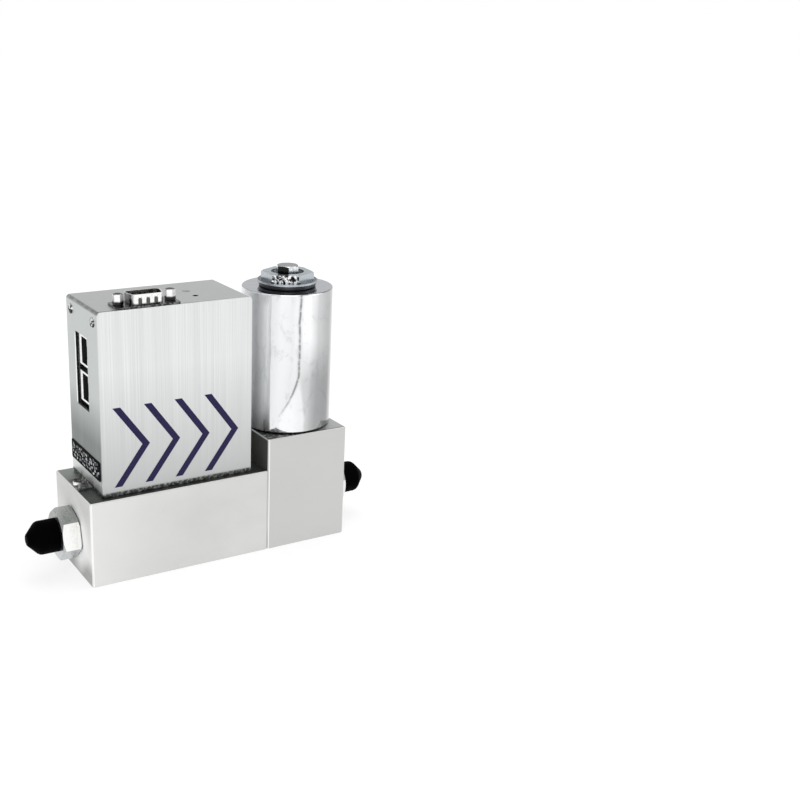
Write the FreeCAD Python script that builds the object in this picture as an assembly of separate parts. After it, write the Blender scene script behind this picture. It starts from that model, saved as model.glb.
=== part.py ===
import FreeCAD
import Part
import math
import os

# A gas mass flow controller: two steel blocks in line, a sheet metal electronics housing on the first and a
# solenoid control valve on the second. Millimetres. The origin is the centre of the underside of the two blocks
# together, +X is the direction of the flow, +Y is towards the rear and +Z is up.

V = FreeCAD.Vector
X_AXIS = V(1, 0, 0)
Y_AXIS = V(0, 1, 0)
Z_AXIS = V(0, 0, 1)

# Screw heads: shares of the head's height, and of the shank's or the head's radius
SOCKET_DEPTH_SHARE = 0.6
SOCKET_FLATS_PER_SHANK_R = 1.7
DOME_EDGE_SHARE = 0.35
CROSS_ARM_SHARE = 0.55
CROSS_HALF_WIDTH_SHARE = 0.11
CROSS_FLOOR_SHARE = 0.5

HEXAGON_SIDES = 6

# One side of a hexagon stands square to the local y direction after this turn
QUARTER_TURN = 90.0

# Running and assembly gaps
THREAD_GAP = 0.08
SLIP_GAP = 0.1
SEAL_GAP = 0.04
RUNNING_GAP = 0.06

# The two blocks
FLOW_BLOCK_LENGTH = 91.0
VALVE_BLOCK_LENGTH = 44.0
BLOCK_DEPTH = 47.0
FLOW_BLOCK_HEIGHT = 42.0
VALVE_BLOCK_HEIGHT = 58.0
BLOCK_CHAMFER = 0.5
PORT_HEIGHT = 19.6
LINE_PASSAGE_R = 4.0

LEFT_X = -(FLOW_BLOCK_LENGTH + VALVE_BLOCK_LENGTH) / 2
SEAM_X = LEFT_X + FLOW_BLOCK_LENGTH
RIGHT_X = SEAM_X + VALVE_BLOCK_LENGTH
VALVE_X = (SEAM_X + RIGHT_X) / 2
HOUSING_X = (LEFT_X + SEAM_X) / 2

# Tapped holes in the underside
FOOT_HOLE_R = 1.65
FOOT_HOLE_DEPTH = 8.0
FOOT_HOLE_SPACING_X = 60.0
FOOT_HOLE_SPACING_Y = 30.0

# Screws that hold the valve block to the flow block
JOINT_SCREW_R = 2.0
JOINT_SCREW_HEAD_R = 3.5
JOINT_SCREW_HEAD_HEIGHT = 4.0
JOINT_SCREW_GRIP = 10.0
JOINT_SCREW_HALF_SPACING_Y = 18.0
JOINT_SCREW_BELOW_PORT = 11.0
JOINT_SCREW_ABOVE_PORT = 15.0
JOINT_SEAL_R = 7.0
JOINT_SEAL_SECTION_R = 1.0

# Hex fittings and their O-rings
FITTING_HEX_FLATS = 22.2
FITTING_HEX_LENGTH = 9.0
FITTING_HEX_CHAMFER = 1.0
FITTING_TURN = 12.0
FITTING_STUD_R = 7.4
FITTING_STUD_LENGTH = 11.0
FITTING_STUB_R = 6.9
FITTING_STUB_LENGTH = 6.8
FITTING_SEAL_SECTION_R = 0.8

# Push-on caps
CAP_R = 8.0
CAP_LENGTH = 14.1
CAP_NOSE_LENGTH = 5.2
CAP_NOSE_R = 2.6
CAP_SHOULDER_R = 3.2
CAP_NOSE_EDGE_R = 1.4
CAP_WALL = 1.06
INLET_CAP_LIFT = 0.0
OUTLET_CAP_LIFT = 1.4

# Inlet screen and laminar flow element
SCREEN_THICKNESS = 1.2
SCREEN_HOLE_R = 0.6
SCREEN_RINGS = ((1, 0.0), (6, 1.9))
ELEMENT_R = 6.4
ELEMENT_LENGTH = 44.0
ELEMENT_HOLE_R = 0.75
ELEMENT_HOLE_PITCH = 2.3
ELEMENT_MIDDLE_ROW = 5
ELEMENT_GROOVE_DEPTH = 0.7
ELEMENT_GROOVE_WIDTH = 3.0
ELEMENT_GROOVE_INSET = 9.0
PICKUP_HOLE_R = 0.6

# Bypass over the flow sensor
BYPASS_PORT_R = 1.0
BYPASS_SLOT_WIDTH = 5.0
BYPASS_SLOT_DEPTH = 1.5
BYPASS_SLOT_MARGIN = 2.0
BYPASS_SLOT_CORNER_R = 1.5
GASKET_THICKNESS = 1.0
SENSOR_BOARD_LENGTH = 42.0
SENSOR_BOARD_WIDTH = 24.0
BOARD_THICKNESS = 1.6
BOARD_CORNER_R = 1.5
CHIP_SIZE = 4.0
CHIP_HEIGHT = 0.8
SENSOR_SCREW_R = 1.25
SENSOR_SCREW_HEAD_R = 2.2
SENSOR_SCREW_HEAD_HEIGHT = 1.4
SENSOR_SCREW_GRIP = 5.0
SENSOR_SCREW_INSET = 3.2

# Housing: folded cover and two panels
HOUSING_INSET = 7.5
HOUSING_LENGTH = FLOW_BLOCK_LENGTH - 2 * HOUSING_INSET
HOUSING_DEPTH = 40.0
HOUSING_HEIGHT = 87.2
COVER_SHEET = 1.0
BEND_INNER_R = 0.8
PANEL_SHEET = 1.2
PANEL_FOOT_CORNER_R = 1.3
PANEL_EDGE = 0.25
RETURN_DEPTH = 8.5
RETURN_TOP_GAP = 1.2
TAB_WIDTH = 14.0
TAB_REACH = 7.0
TAB_RELIEF = 0.8
TAB_RELIEF_HEIGHT = 4.0
TAB_ROOT = 2.0
TAB_CORNER_R = 2.0

HOUSING_LEFT = HOUSING_X - HOUSING_LENGTH / 2
HOUSING_RIGHT = HOUSING_X + HOUSING_LENGTH / 2
HOUSING_BASE = FLOW_BLOCK_HEIGHT
HOUSING_TOP = HOUSING_BASE + HOUSING_HEIGHT
HOUSING_FRONT = -HOUSING_DEPTH / 2
HOUSING_REAR = HOUSING_DEPTH / 2

# Screws of the housing
SIDE_SCREW_R = 1.0
SIDE_SCREW_HEAD_R = 2.3
SIDE_SCREW_HEAD_HEIGHT = 0.9
SIDE_SCREW_LENGTH = 4.0
SIDE_SCREW_FROM_FACE = 6.0
SIDE_SCREW_FROM_TOP = 5.6
FOOT_SCREW_R = 1.5
FOOT_SCREW_HEAD_R = 2.8
FOOT_SCREW_HEAD_HEIGHT = 1.7
FOOT_SCREW_LENGTH = 7.0
FOOT_SCREW_FROM_WALL = 4.2

# Label on the left wall
LABEL_FRONT_INSET = 1.9
LABEL_REAR_INSET = 0.5
LABEL_HEIGHT = 9.3
LABEL_LIFT = 7.5
LABEL_THICKNESS = 0.3
LABEL_CORNER_R = 0.8

# Network jacks in the left wall, one above the other
JACK_WIDTH = 14.4
JACK_THICKNESS = 12.0
JACK_LENGTH = 15.0
JACK_PITCH = 17.5
JACK_MIDDLE_LIFT = 56.3
JACK_FRONT_Y = -6.0
JACK_FACE_INSET = 0.8
SHIELD_WALL = 0.3
PORT_WIDTH = 12.4
PORT_THICKNESS = 7.0
PORT_DEPTH = 11.5
PORT_REAR_MARGIN = 2.5
LATCH_WIDTH = 6.2
LATCH_DEPTH = 1.2
CONTACT_COUNT = 8
CONTACT_PITCH = 1.02
CONTACT_R = 0.23
CONTACT_RISE = 1.5
CONTACT_REACH = 8.5
CONTACT_INSET = 1.5
WINDOW_LOW_MARGIN = 2.8
WINDOW_HIGH_MARGIN = 0.3
WINDOW_FRONT_MARGIN = 0.3
WINDOW_REAR_MARGIN = 2.7
WINDOW_CORNER_R = 0.5

JACK_REAR_Y = JACK_FRONT_Y + JACK_THICKNESS
JACK_FACE_X = HOUSING_LEFT + JACK_FACE_INSET
JACK_MIDDLE_Z = HOUSING_BASE + JACK_MIDDLE_LIFT

# Boards in the housing
MAIN_BOARD_END_GAP = 3.0
MAIN_BOARD_LIFT = 4.6
MAIN_BOARD_TOP_GAP = 5.9
STANDOFF_FLATS = 5.0
STANDOFF_INSET = 4.0
BOARD_SCREW_R = 1.25
BOARD_SCREW_HEAD_R = 2.3
BOARD_SCREW_HEAD_HEIGHT = 1.5
BOARD_SCREW_GRIP = 5.0
UPPER_BOARD_LENGTH = 50.0
UPPER_BOARD_WIDTH = 23.0
UPPER_BOARD_DROP = 10.1
UPPER_BOARD_SHIFT = 1.5
HEADER_LENGTH = 18.0
HEADER_THICKNESS = 5.0
HEADER_HEIGHT = 6.0
UPPER_HEADER_SHIFT = 6.0

# Chips on the main board: centre as shares of its length and height, then length, height and thickness
CHIP_FORMS = ((0.62, 0.39, 12.0, 12.0, 1.4), (0.62, 0.66, 9.0, 6.0, 1.6), (0.82, 0.47, 8.0, 12.0, 3.2))

MAIN_BOARD_LENGTH = HOUSING_LENGTH - 2 * (COVER_SHEET + MAIN_BOARD_END_GAP)
MAIN_BOARD_HEIGHT = HOUSING_HEIGHT - COVER_SHEET - MAIN_BOARD_LIFT - MAIN_BOARD_TOP_GAP
MAIN_BOARD_FRONT = JACK_REAR_Y
MAIN_BOARD_REAR = MAIN_BOARD_FRONT + BOARD_THICKNESS
UPPER_BOARD_TOP = HOUSING_TOP - UPPER_BOARD_DROP
UPPER_BOARD_BASE = UPPER_BOARD_TOP - BOARD_THICKNESS
UPPER_BOARD_X = HOUSING_X + UPPER_BOARD_SHIFT

# D-sub connector on the top
DSUB_OFFSET_X = -12.8
DSUB_Y = -12.9
DSUB_FLANGE_LENGTH = 30.8
DSUB_FLANGE_WIDTH = 12.5
DSUB_FLANGE_THICKNESS = 0.9
DSUB_FLANGE_CORNER_R = 1.5
DSUB_SHELL_LENGTH = 17.8
DSUB_SHELL_WIDTH = 9.2
DSUB_SHELL_WALL = 0.5
DSUB_SHELL_HEIGHT = 4.8
DSUB_SHELL_CORNER_R = 2.4
DSUB_SLANT = 10.0
DSUB_FLOOR = 1.0
DSUB_BODY_DEPTH = 5.0
DSUB_DIMPLE_R = 0.95
DSUB_DIMPLE_DEPTH = 0.38
DSUB_DIMPLE_PITCH = 3.8
DSUB_DIMPLE_LIFT = 0.7
DSUB_DIMPLE_LENGTH = 2.9
DSUB_PIN_R = 0.5
DSUB_PIN_PITCH = 2.76
DSUB_ROW_PITCH = 2.84
DSUB_PIN_HEIGHT = 4.0
DSUB_PIN_TAIL = 0.5
JACKSCREW_PITCH = 25.0
JACKSCREW_FLATS = 4.4
JACKSCREW_HEIGHT = 5.0
JACKSCREW_FLOOR = 0.6
JACKSCREW_CHAMFER = 0.25
JACKSCREW_BORE_R = 1.2
JACKSCREW_SHANK_R = 1.3
JACKNUT_HEIGHT = 2.2

DSUB_X = HOUSING_X + DSUB_OFFSET_X
DSUB_FLANGE_TOP = HOUSING_TOP + DSUB_FLANGE_THICKNESS

# Status lamp and zero switch under the top
LAMP_OFFSET_X = 14.5
LAMP_Y = 2.5
LAMP_SIZE = 2.4
LAMP_HEIGHT = 1.2
LIGHT_PIPE_R = 1.4
LIGHT_PIPE_COLLAR_R = 2.1
LIGHT_PIPE_COLLAR_HEIGHT = 1.2
ZERO_OFFSET_X = 14.7
ZERO_Y = -7.6
ZERO_HOLE_R = 1.1
SWITCH_SIZE = 6.0
SWITCH_HEIGHT = 3.5
SWITCH_BUTTON_R = 1.7
SWITCH_BUTTON_RISE = 1.5
SWITCH_BUTTON_SEAT = 1.2
SWITCH_TRAVEL = 0.25

# Control valve
COLLAR_R = 10.5
COLLAR_LENGTH = 14.0
CHAMBER_R = 7.6
CHAMBER_HEIGHT = 4.0
TUBE_R = 8.0
TUBE_BORE_R = 6.8
TUBE_END_WALL = 6.0
TUBE_SEAL_R = 9.0
TUBE_SEAL_SECTION_R = 0.7
ORIFICE_R = 5.0
ORIFICE_LENGTH = 8.0
ORIFICE_BORE_R = 1.0
ORIFICE_LIP_R = 2.0
ORIFICE_LIP_HEIGHT = 1.0
ORIFICE_SEAL_SECTION_R = 0.7
RISER_R = 1.5
RISER_OFFSET = 6.7
DROP_R = 2.5
PLUNGER_LENGTH = 26.0
PLUNGER_STROKE = 0.6
PLUNGER_GROOVE_R = 1.2
PLUNGER_REST_GAP = 0.1
SPRING_POCKET_R = 3.2
SPRING_POCKET_DEPTH = 8.0
SPRING_R = 2.4
SPRING_WIRE_R = 0.4
SPRING_TURNS = 5
PAD_R = 3.2
PAD_THICKNESS = 1.6
PAD_STAND_OUT = 0.4

# Coil and what clamps it
SEAT_RING_INSET = 1.4
SEAT_RING_THICKNESS = 0.5
COIL_R = 22.4
COIL_HEIGHT = 69.2
COIL_WALL = 1.8
COIL_TOP_WALL = 3.0
COIL_BASE_THICKNESS = 3.0
COIL_EDGE_R = 0.5
BOBBIN_WALL = 1.2
BOBBIN_FLANGE = 1.5
BOBBIN_FLANGE_GAP = 0.6
WINDING_R = 17.6
TOP_RING_R = 14.0
TOP_RING_THICKNESS = 2.2
TOP_RING_EDGE_R = 0.9
WASHER_R = 14.6
WASHER_THICKNESS = 1.0
NUT_FLATS = 22.6
NUT_HEIGHT = 3.8
NUT_CHAMFER = 0.5
NUT_TURN = -33.5
NUT_STANDS_PROUD = 2.2
TOP_WASHER_R = 6.6
TOP_WASHER_THICKNESS = 0.3
TOP_SCREW_R = 3.0
TOP_SCREW_FLATS = 10.0
TOP_SCREW_HEAD_HEIGHT = 5.0
TOP_SCREW_CHAMFER = 0.5
TOP_SCREW_LENGTH = 16.0
TOP_SCREW_TURN = 38.0

COLLAR_BASE = VALVE_BLOCK_HEIGHT - COLLAR_LENGTH
CHAMBER_FLOOR = COLLAR_BASE - CHAMBER_HEIGHT
ORIFICE_BASE = CHAMBER_FLOOR - ORIFICE_LENGTH
LIP_TOP = CHAMBER_FLOOR + ORIFICE_LIP_HEIGHT
PLUNGER_BASE = LIP_TOP + PAD_STAND_OUT
PLUNGER_TOP = PLUNGER_BASE + PLUNGER_LENGTH
FIXED_CORE_BASE = PLUNGER_TOP + PLUNGER_STROKE + PLUNGER_REST_GAP
SEAT_RING_R = COIL_R - SEAT_RING_INSET
COIL_BASE = VALVE_BLOCK_HEIGHT + SEAT_RING_THICKNESS
COIL_TOP = COIL_BASE + COIL_HEIGHT
WASHER_BASE = COIL_TOP + TOP_RING_THICKNESS
NUT_BASE = WASHER_BASE + WASHER_THICKNESS
TUBE_TOP = NUT_BASE + NUT_HEIGHT - NUT_STANDS_PROUD


def box(x0, x1, y0, y1, z0, z1):
    return Part.makeBox(x1 - x0, y1 - y0, z1 - z0, V(x0, y0, z0))


def rod(radius, length, base, direction):
    return Part.makeCylinder(radius, length, base, direction)


def ring(outer, inner, length, base, direction):
    hole = rod(inner, length, base, direction)
    return rod(outer, length, base, direction).cut(hole)


def torus(radius, section, centre, direction):
    return Part.makeTorus(radius, section, centre, direction)


def hexagon(flats, length, base, direction, turn):
    """Hexagonal bar. At turn 0 a flat faces the local x direction."""
    radius = flats / 2 / math.cos(math.pi / 6)
    corners = []
    for i in range(HEXAGON_SIDES + 1):
        angle = math.radians(30 + 360 / HEXAGON_SIDES * i + turn)
        corners.append(V(radius * math.cos(angle), radius * math.sin(angle), 0))
    bar = Part.Face(Part.makePolygon(corners)).extrude(V(0, 0, length))
    return placed(bar, base, direction)


def placed(shape, base, direction):
    """Moves a shape made along +Z from the origin to a base point and a direction."""
    turned = shape.copy()
    turned.Placement = FreeCAD.Placement(base, FreeCAD.Rotation(Z_AXIS, direction)).multiply(shape.Placement)
    return turned


def chamfered_hexagon(flats, length, chamfer, base, direction, turn):
    """Hexagonal bar whose corners are turned off to a cone at both ends."""
    corner_r = flats / 2 / math.cos(math.pi / 6)
    face_r = corner_r - chamfer / math.tan(math.radians(30))
    profile = [
        V(0, 0, 0),
        V(face_r, 0, 0),
        V(corner_r, 0, chamfer),
        V(corner_r, 0, length - chamfer),
        V(face_r, 0, length),
        V(0, 0, length),
        V(0, 0, 0),
    ]
    blank = Part.Face(Part.makePolygon(profile)).revolve(V(0, 0, 0), Z_AXIS, 360)
    bar = hexagon(flats, length, V(0, 0, 0), Z_AXIS, turn)
    return placed(bar.common(blank), base, direction)


def rounded_wire(corners, to_space):
    """Closed outline through (u, v, radius) corners, each rounded by its own radius."""
    edges = []
    count = len(corners)
    starts = []
    for i in range(count):
        u, v, radius = corners[i]
        corner = V(u, v, 0)
        before = V(corners[i - 1][0], corners[i - 1][1], 0) - corner
        after = V(corners[(i + 1) % count][0], corners[(i + 1) % count][1], 0) - corner
        before.normalize()
        after.normalize()
        if radius <= 0:
            starts.append((corner, corner, corner))
            continue
        half = before.getAngle(after) / 2
        reach = radius / math.tan(half)
        middle_way = before + after
        middle_way.normalize()
        centre = corner + middle_way * (radius / math.sin(half))
        starts.append((corner + before * reach, centre - middle_way * radius, corner + after * reach))
    for i in range(count):
        first, middle, last = [to_space(p.x, p.y) for p in starts[i]]
        following = to_space(starts[(i + 1) % count][0].x, starts[(i + 1) % count][0].y)
        if corners[i][2] > 0:
            edges.append(Part.Arc(first, middle, last).toShape())
        if (following - last).Length > 1e-6:
            edges.append(Part.makeLine(last, following))
    return Part.Wire(edges)


def outline_solid(corners, to_space, travel):
    return Part.Face(rounded_wire(corners, to_space)).extrude(travel)


def folded_outline(path, thickness, inner_r):
    """Corners of a bent sheet. The path is its left side, and the sheet lies to the right of it."""
    normals = []
    for i in range(len(path) - 1):
        run = V(path[i + 1][0] - path[i][0], path[i + 1][1] - path[i][1], 0)
        run.normalize()
        normals.append(V(run.y, -run.x, 0))
    near = []
    far = []
    for i in range(len(path)):
        first = normals[max(i - 1, 0)]
        second = normals[min(i, len(normals) - 1)]
        spread = (first + second) * (thickness / (1 + first.dot(second)))
        near_r = 0
        far_r = 0
        if 0 < i < len(path) - 1:
            turns_left = first.cross(second).z > 0
            near_r = inner_r if turns_left else inner_r + thickness
            far_r = inner_r + thickness if turns_left else inner_r
        near.append((path[i][0], path[i][1], near_r))
        far.append((path[i][0] + spread.x, path[i][1] + spread.y, far_r))
    return near + far[::-1]


def front_plane(y):
    return lambda u, v: V(u, y, v)


def level_plane(z):
    return lambda u, v: V(u, v, z)


def side_plane(x):
    return lambda u, v: V(x, u, v)


def rounded_rectangle(u0, u1, v0, v1, radius):
    return [(u0, v0, radius), (u1, v0, radius), (u1, v1, radius), (u0, v1, radius)]


def corners_of(spacing_u, spacing_v):
    """Four places about a centre."""
    return [(su * spacing_u / 2, sv * spacing_v / 2) for su in (-1, 1) for sv in (-1, 1)]


def revolved(profile, base, direction):
    """Solid of revolution. The profile is (radius, height) points, closed along the axis."""
    points = [V(r, 0, h) for r, h in profile]
    points.append(points[0])
    turned = Part.Face(Part.makePolygon(points)).revolve(V(0, 0, 0), Z_AXIS, 360)
    return placed(turned, base, direction)


def cap_screw(shank_r, head_r, head_height, length, base, direction):
    """Socket head cap screw. The base is the seat under the head, and the head points along direction."""
    screw = rod(head_r, head_height, V(0, 0, 0), Z_AXIS)
    screw = screw.fuse(rod(shank_r, length, V(0, 0, -length), Z_AXIS))
    socket_depth = head_height * SOCKET_DEPTH_SHARE
    socket_base = V(0, 0, head_height - socket_depth)
    socket = hexagon(shank_r * SOCKET_FLATS_PER_SHANK_R, socket_depth, socket_base, Z_AXIS, 0)
    return placed(screw.cut(socket), base, direction)


def domed_screw(shank_r, head_r, head_height, length, base, direction):
    """Button or pan head screw with a cross recess in a domed head."""
    edge = head_height * DOME_EDGE_SHARE
    rise = head_height - edge
    dome_r = (head_r ** 2 + rise ** 2) / (2 * rise)
    dome = Part.makeSphere(dome_r, V(0, 0, head_height - dome_r))
    screw = rod(head_r, head_height, V(0, 0, 0), Z_AXIS).common(dome)
    screw = screw.fuse(rod(shank_r, length, V(0, 0, -length), Z_AXIS))
    arm = head_r * CROSS_ARM_SHARE
    half_width = head_r * CROSS_HALF_WIDTH_SHARE
    floor = head_height * CROSS_FLOOR_SHARE
    for across in (box(-arm, arm, -half_width, half_width, floor, head_height),
                   box(-half_width, half_width, -arm, arm, floor, head_height)):
        screw = screw.cut(across)
    return placed(screw, base, direction)


def fused(shapes):
    whole = shapes[0]
    for shape in shapes[1:]:
        whole = whole.fuse(shape)
    return whole.removeSplitter()


def cut_all(shape, tools):
    for tool in tools:
        shape = shape.cut(tool)
    return shape


def foot_hole_places():
    return [(HOUSING_X + dx, dy) for dx, dy in corners_of(FOOT_HOLE_SPACING_X, FOOT_HOLE_SPACING_Y)]


def joint_screw_places():
    low = PORT_HEIGHT - JOINT_SCREW_BELOW_PORT
    high = PORT_HEIGHT + JOINT_SCREW_ABOVE_PORT
    return [(side * JOINT_SCREW_HALF_SPACING_Y, z) for side in (-1, 1) for z in (low, high)]


def sensor_screw_places():
    along = SENSOR_BOARD_LENGTH - 2 * SENSOR_SCREW_INSET
    across = SENSOR_BOARD_WIDTH - 2 * SENSOR_SCREW_INSET
    return [(ELEMENT_X + dx, dy) for dx, dy in corners_of(along, across)]


def foot_screw_places():
    return [HOUSING_LEFT - FOOT_SCREW_FROM_WALL, HOUSING_RIGHT + FOOT_SCREW_FROM_WALL]


# Places along the flow, from the inlet face
PORT_BORE_R = FITTING_STUD_R + THREAD_GAP
PORT_BORE_DEPTH = FITTING_STUD_LENGTH + SCREEN_THICKNESS
SEAL_POCKET_R = FITTING_STUD_R + 2 * FITTING_SEAL_SECTION_R + 3 * SEAL_GAP
SEAL_POCKET_DEPTH = 2 * (FITTING_SEAL_SECTION_R + SEAL_GAP)
ELEMENT_START = LEFT_X + PORT_BORE_DEPTH
ELEMENT_END = ELEMENT_START + ELEMENT_LENGTH
ELEMENT_X = (ELEMENT_START + ELEMENT_END) / 2
ELEMENT_BORE_R = ELEMENT_R + SLIP_GAP / 2
GROOVE_XS = [ELEMENT_START + ELEMENT_GROOVE_INSET, ELEMENT_END - ELEMENT_GROOVE_INSET]
SENSOR_BOARD_BASE = FLOW_BLOCK_HEIGHT + GASKET_THICKNESS
SENSOR_BOARD_TOP = SENSOR_BOARD_BASE + BOARD_THICKNESS


def bypass_slot(base, height):
    x0 = GROOVE_XS[0] - BYPASS_SLOT_MARGIN
    x1 = GROOVE_XS[1] + BYPASS_SLOT_MARGIN
    half = BYPASS_SLOT_WIDTH / 2
    outline = rounded_rectangle(x0, x1, -half, half, BYPASS_SLOT_CORNER_R)
    return outline_solid(outline, level_plane(base), V(0, 0, height))


def port_bore(face_x, into):
    """Bore for a fitting, with the pocket for its O-ring. The vector into points into the block."""
    mouth = V(face_x, 0, PORT_HEIGHT)
    return rod(PORT_BORE_R, PORT_BORE_DEPTH, mouth, into).fuse(rod(SEAL_POCKET_R, SEAL_POCKET_DEPTH, mouth, into))


def flow_block():
    half = BLOCK_DEPTH / 2
    block = box(LEFT_X, SEAM_X, -half, half, 0, FLOW_BLOCK_HEIGHT)
    block = block.makeChamfer(BLOCK_CHAMFER, block.Edges)
    tools = [port_bore(LEFT_X, X_AXIS)]
    tools.append(rod(ELEMENT_BORE_R, ELEMENT_LENGTH, V(ELEMENT_START, 0, PORT_HEIGHT), X_AXIS))
    tools.append(rod(LINE_PASSAGE_R, SEAM_X - ELEMENT_END, V(ELEMENT_END, 0, PORT_HEIGHT), X_AXIS))
    tools.append(bypass_slot(FLOW_BLOCK_HEIGHT - BYPASS_SLOT_DEPTH, BYPASS_SLOT_DEPTH))
    for x in GROOVE_XS:
        tools.append(rod(BYPASS_PORT_R, FLOW_BLOCK_HEIGHT - PORT_HEIGHT, V(x, 0, PORT_HEIGHT), Z_AXIS))
    for x, y in sensor_screw_places():
        depth = SENSOR_SCREW_GRIP + SLIP_GAP
        tools.append(rod(SENSOR_SCREW_R, depth, V(x, y, FLOW_BLOCK_HEIGHT - depth), Z_AXIS))
    for x in foot_screw_places():
        depth = FOOT_SCREW_LENGTH - COVER_SHEET + SLIP_GAP
        tools.append(rod(FOOT_SCREW_R, depth, V(x, 0, FLOW_BLOCK_HEIGHT - depth), Z_AXIS))
    for x, y in foot_hole_places():
        tools.append(rod(FOOT_HOLE_R, FOOT_HOLE_DEPTH, V(x, y, 0), Z_AXIS))
    for y, z in joint_screw_places():
        depth = JOINT_SCREW_GRIP + SLIP_GAP
        tools.append(rod(JOINT_SCREW_R, depth, V(SEAM_X - depth, y, z), X_AXIS))
    groove_depth = 2 * JOINT_SEAL_SECTION_R - SEAL_GAP
    half_width = JOINT_SEAL_SECTION_R + SEAL_GAP
    groove_base = V(SEAM_X - groove_depth, 0, PORT_HEIGHT)
    tools.append(ring(JOINT_SEAL_R + half_width, JOINT_SEAL_R - half_width, groove_depth, groove_base, X_AXIS))
    return cut_all(block, tools)


def valve_block():
    half = BLOCK_DEPTH / 2
    block = box(SEAM_X, RIGHT_X, -half, half, 0, VALVE_BLOCK_HEIGHT)
    block = block.makeChamfer(BLOCK_CHAMFER, block.Edges)
    port_start = RIGHT_X - PORT_BORE_DEPTH
    riser_x = VALVE_X - RISER_OFFSET
    tools = [port_bore(RIGHT_X, -X_AXIS)]
    tools.append(rod(LINE_PASSAGE_R, riser_x + RISER_R - SEAM_X, V(SEAM_X, 0, PORT_HEIGHT), X_AXIS))
    tools.append(rod(RISER_R, COLLAR_BASE - PORT_HEIGHT, V(riser_x, 0, PORT_HEIGHT), Z_AXIS))
    tools.append(rod(DROP_R, ORIFICE_BASE - PORT_HEIGHT, V(VALVE_X, 0, PORT_HEIGHT), Z_AXIS))
    tools.append(rod(DROP_R, port_start - VALVE_X, V(VALVE_X, 0, PORT_HEIGHT), X_AXIS))
    tools.append(rod(ORIFICE_R + SEAL_GAP, ORIFICE_LENGTH, V(VALVE_X, 0, ORIFICE_BASE), Z_AXIS))
    tools.append(rod(CHAMBER_R, CHAMBER_HEIGHT, V(VALVE_X, 0, CHAMBER_FLOOR), Z_AXIS))
    tools.append(rod(COLLAR_R + THREAD_GAP, COLLAR_LENGTH, V(VALVE_X, 0, COLLAR_BASE), Z_AXIS))
    groove_depth = 2 * TUBE_SEAL_SECTION_R - SEAL_GAP
    groove_half = TUBE_SEAL_SECTION_R + SEAL_GAP
    groove_base = V(VALVE_X, 0, COLLAR_BASE - groove_depth)
    tools.append(ring(TUBE_SEAL_R + groove_half, TUBE_SEAL_R - groove_half, groove_depth, groove_base, Z_AXIS))
    head_gap = JOINT_SCREW_HEAD_R + SLIP_GAP
    for y, z in joint_screw_places():
        tools.append(rod(JOINT_SCREW_R + SLIP_GAP, VALVE_BLOCK_LENGTH, V(SEAM_X, y, z), X_AXIS))
        sunk = JOINT_SCREW_HEAD_HEIGHT + SLIP_GAP
        tools.append(rod(head_gap, sunk, V(RIGHT_X - sunk, y, z), X_AXIS))
    return cut_all(block, tools)


def block_joint_seal():
    section = JOINT_SEAL_SECTION_R - SEAL_GAP
    return torus(JOINT_SEAL_R, section, V(SEAM_X - JOINT_SEAL_SECTION_R, 0, PORT_HEIGHT), X_AXIS)


def block_joint_screws():
    seat = RIGHT_X - JOINT_SCREW_HEAD_HEIGHT - SLIP_GAP
    length = seat - SEAM_X + JOINT_SCREW_GRIP
    screws = []
    for y, z in joint_screw_places():
        screws.append(cap_screw(JOINT_SCREW_R - THREAD_GAP, JOINT_SCREW_HEAD_R, JOINT_SCREW_HEAD_HEIGHT, length,
                                V(seat, y, z), X_AXIS))
    return Part.makeCompound(screws)


def fitting(face_x, outward):
    """Hex fitting with a threaded stud in the block and a tube stub outside."""
    face = V(face_x, 0, PORT_HEIGHT)
    body = chamfered_hexagon(FITTING_HEX_FLATS, FITTING_HEX_LENGTH, FITTING_HEX_CHAMFER, face, outward,
                             QUARTER_TURN + FITTING_TURN)
    stub_base = face + outward * FITTING_HEX_LENGTH
    body = body.fuse(rod(FITTING_STUD_R, FITTING_STUD_LENGTH, face, outward * -1))
    body = body.fuse(rod(FITTING_STUB_R, FITTING_STUB_LENGTH, stub_base, outward))
    whole = FITTING_STUD_LENGTH + FITTING_HEX_LENGTH + FITTING_STUB_LENGTH
    bore = rod(LINE_PASSAGE_R, whole, face - outward * FITTING_STUD_LENGTH, outward)
    return body.cut(bore).removeSplitter()


def fitting_seal(face_x, outward):
    radius = FITTING_STUD_R + FITTING_SEAL_SECTION_R + SEAL_GAP
    middle = V(face_x, 0, PORT_HEIGHT) - outward * (FITTING_SEAL_SECTION_R + SEAL_GAP)
    return torus(radius, FITTING_SEAL_SECTION_R, middle, outward)


def cap_form(radius, length, nose_r, shoulder_r, edge_r):
    """Solid of revolution from the origin along +Z: a straight barrel and a blunt conical nose."""
    corners = [(0, 0, 0), (radius, 0, 0), (radius, length - CAP_NOSE_LENGTH, shoulder_r), (nose_r, length, edge_r),
               (0, length, 0)]
    face = Part.Face(rounded_wire(corners, front_plane(0)))
    return face.revolve(V(0, 0, 0), Z_AXIS, 360)


def end_cap(face_x, outward, lift):
    """Push-on cap with a blunt nose, open towards the fitting."""
    skin = cap_form(CAP_R, CAP_LENGTH, CAP_NOSE_R, CAP_SHOULDER_R, CAP_NOSE_EDGE_R)
    inner_shoulder_r = CAP_SHOULDER_R - CAP_WALL
    inner_edge_r = CAP_NOSE_EDGE_R - CAP_WALL
    inside = cap_form(CAP_R - CAP_WALL, CAP_LENGTH - CAP_WALL, CAP_NOSE_R - CAP_WALL / 2, inner_shoulder_r,
                      inner_edge_r)
    start = V(face_x, 0, PORT_HEIGHT) + outward * (FITTING_HEX_LENGTH + lift)
    return placed(skin.cut(inside), start, outward)


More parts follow.
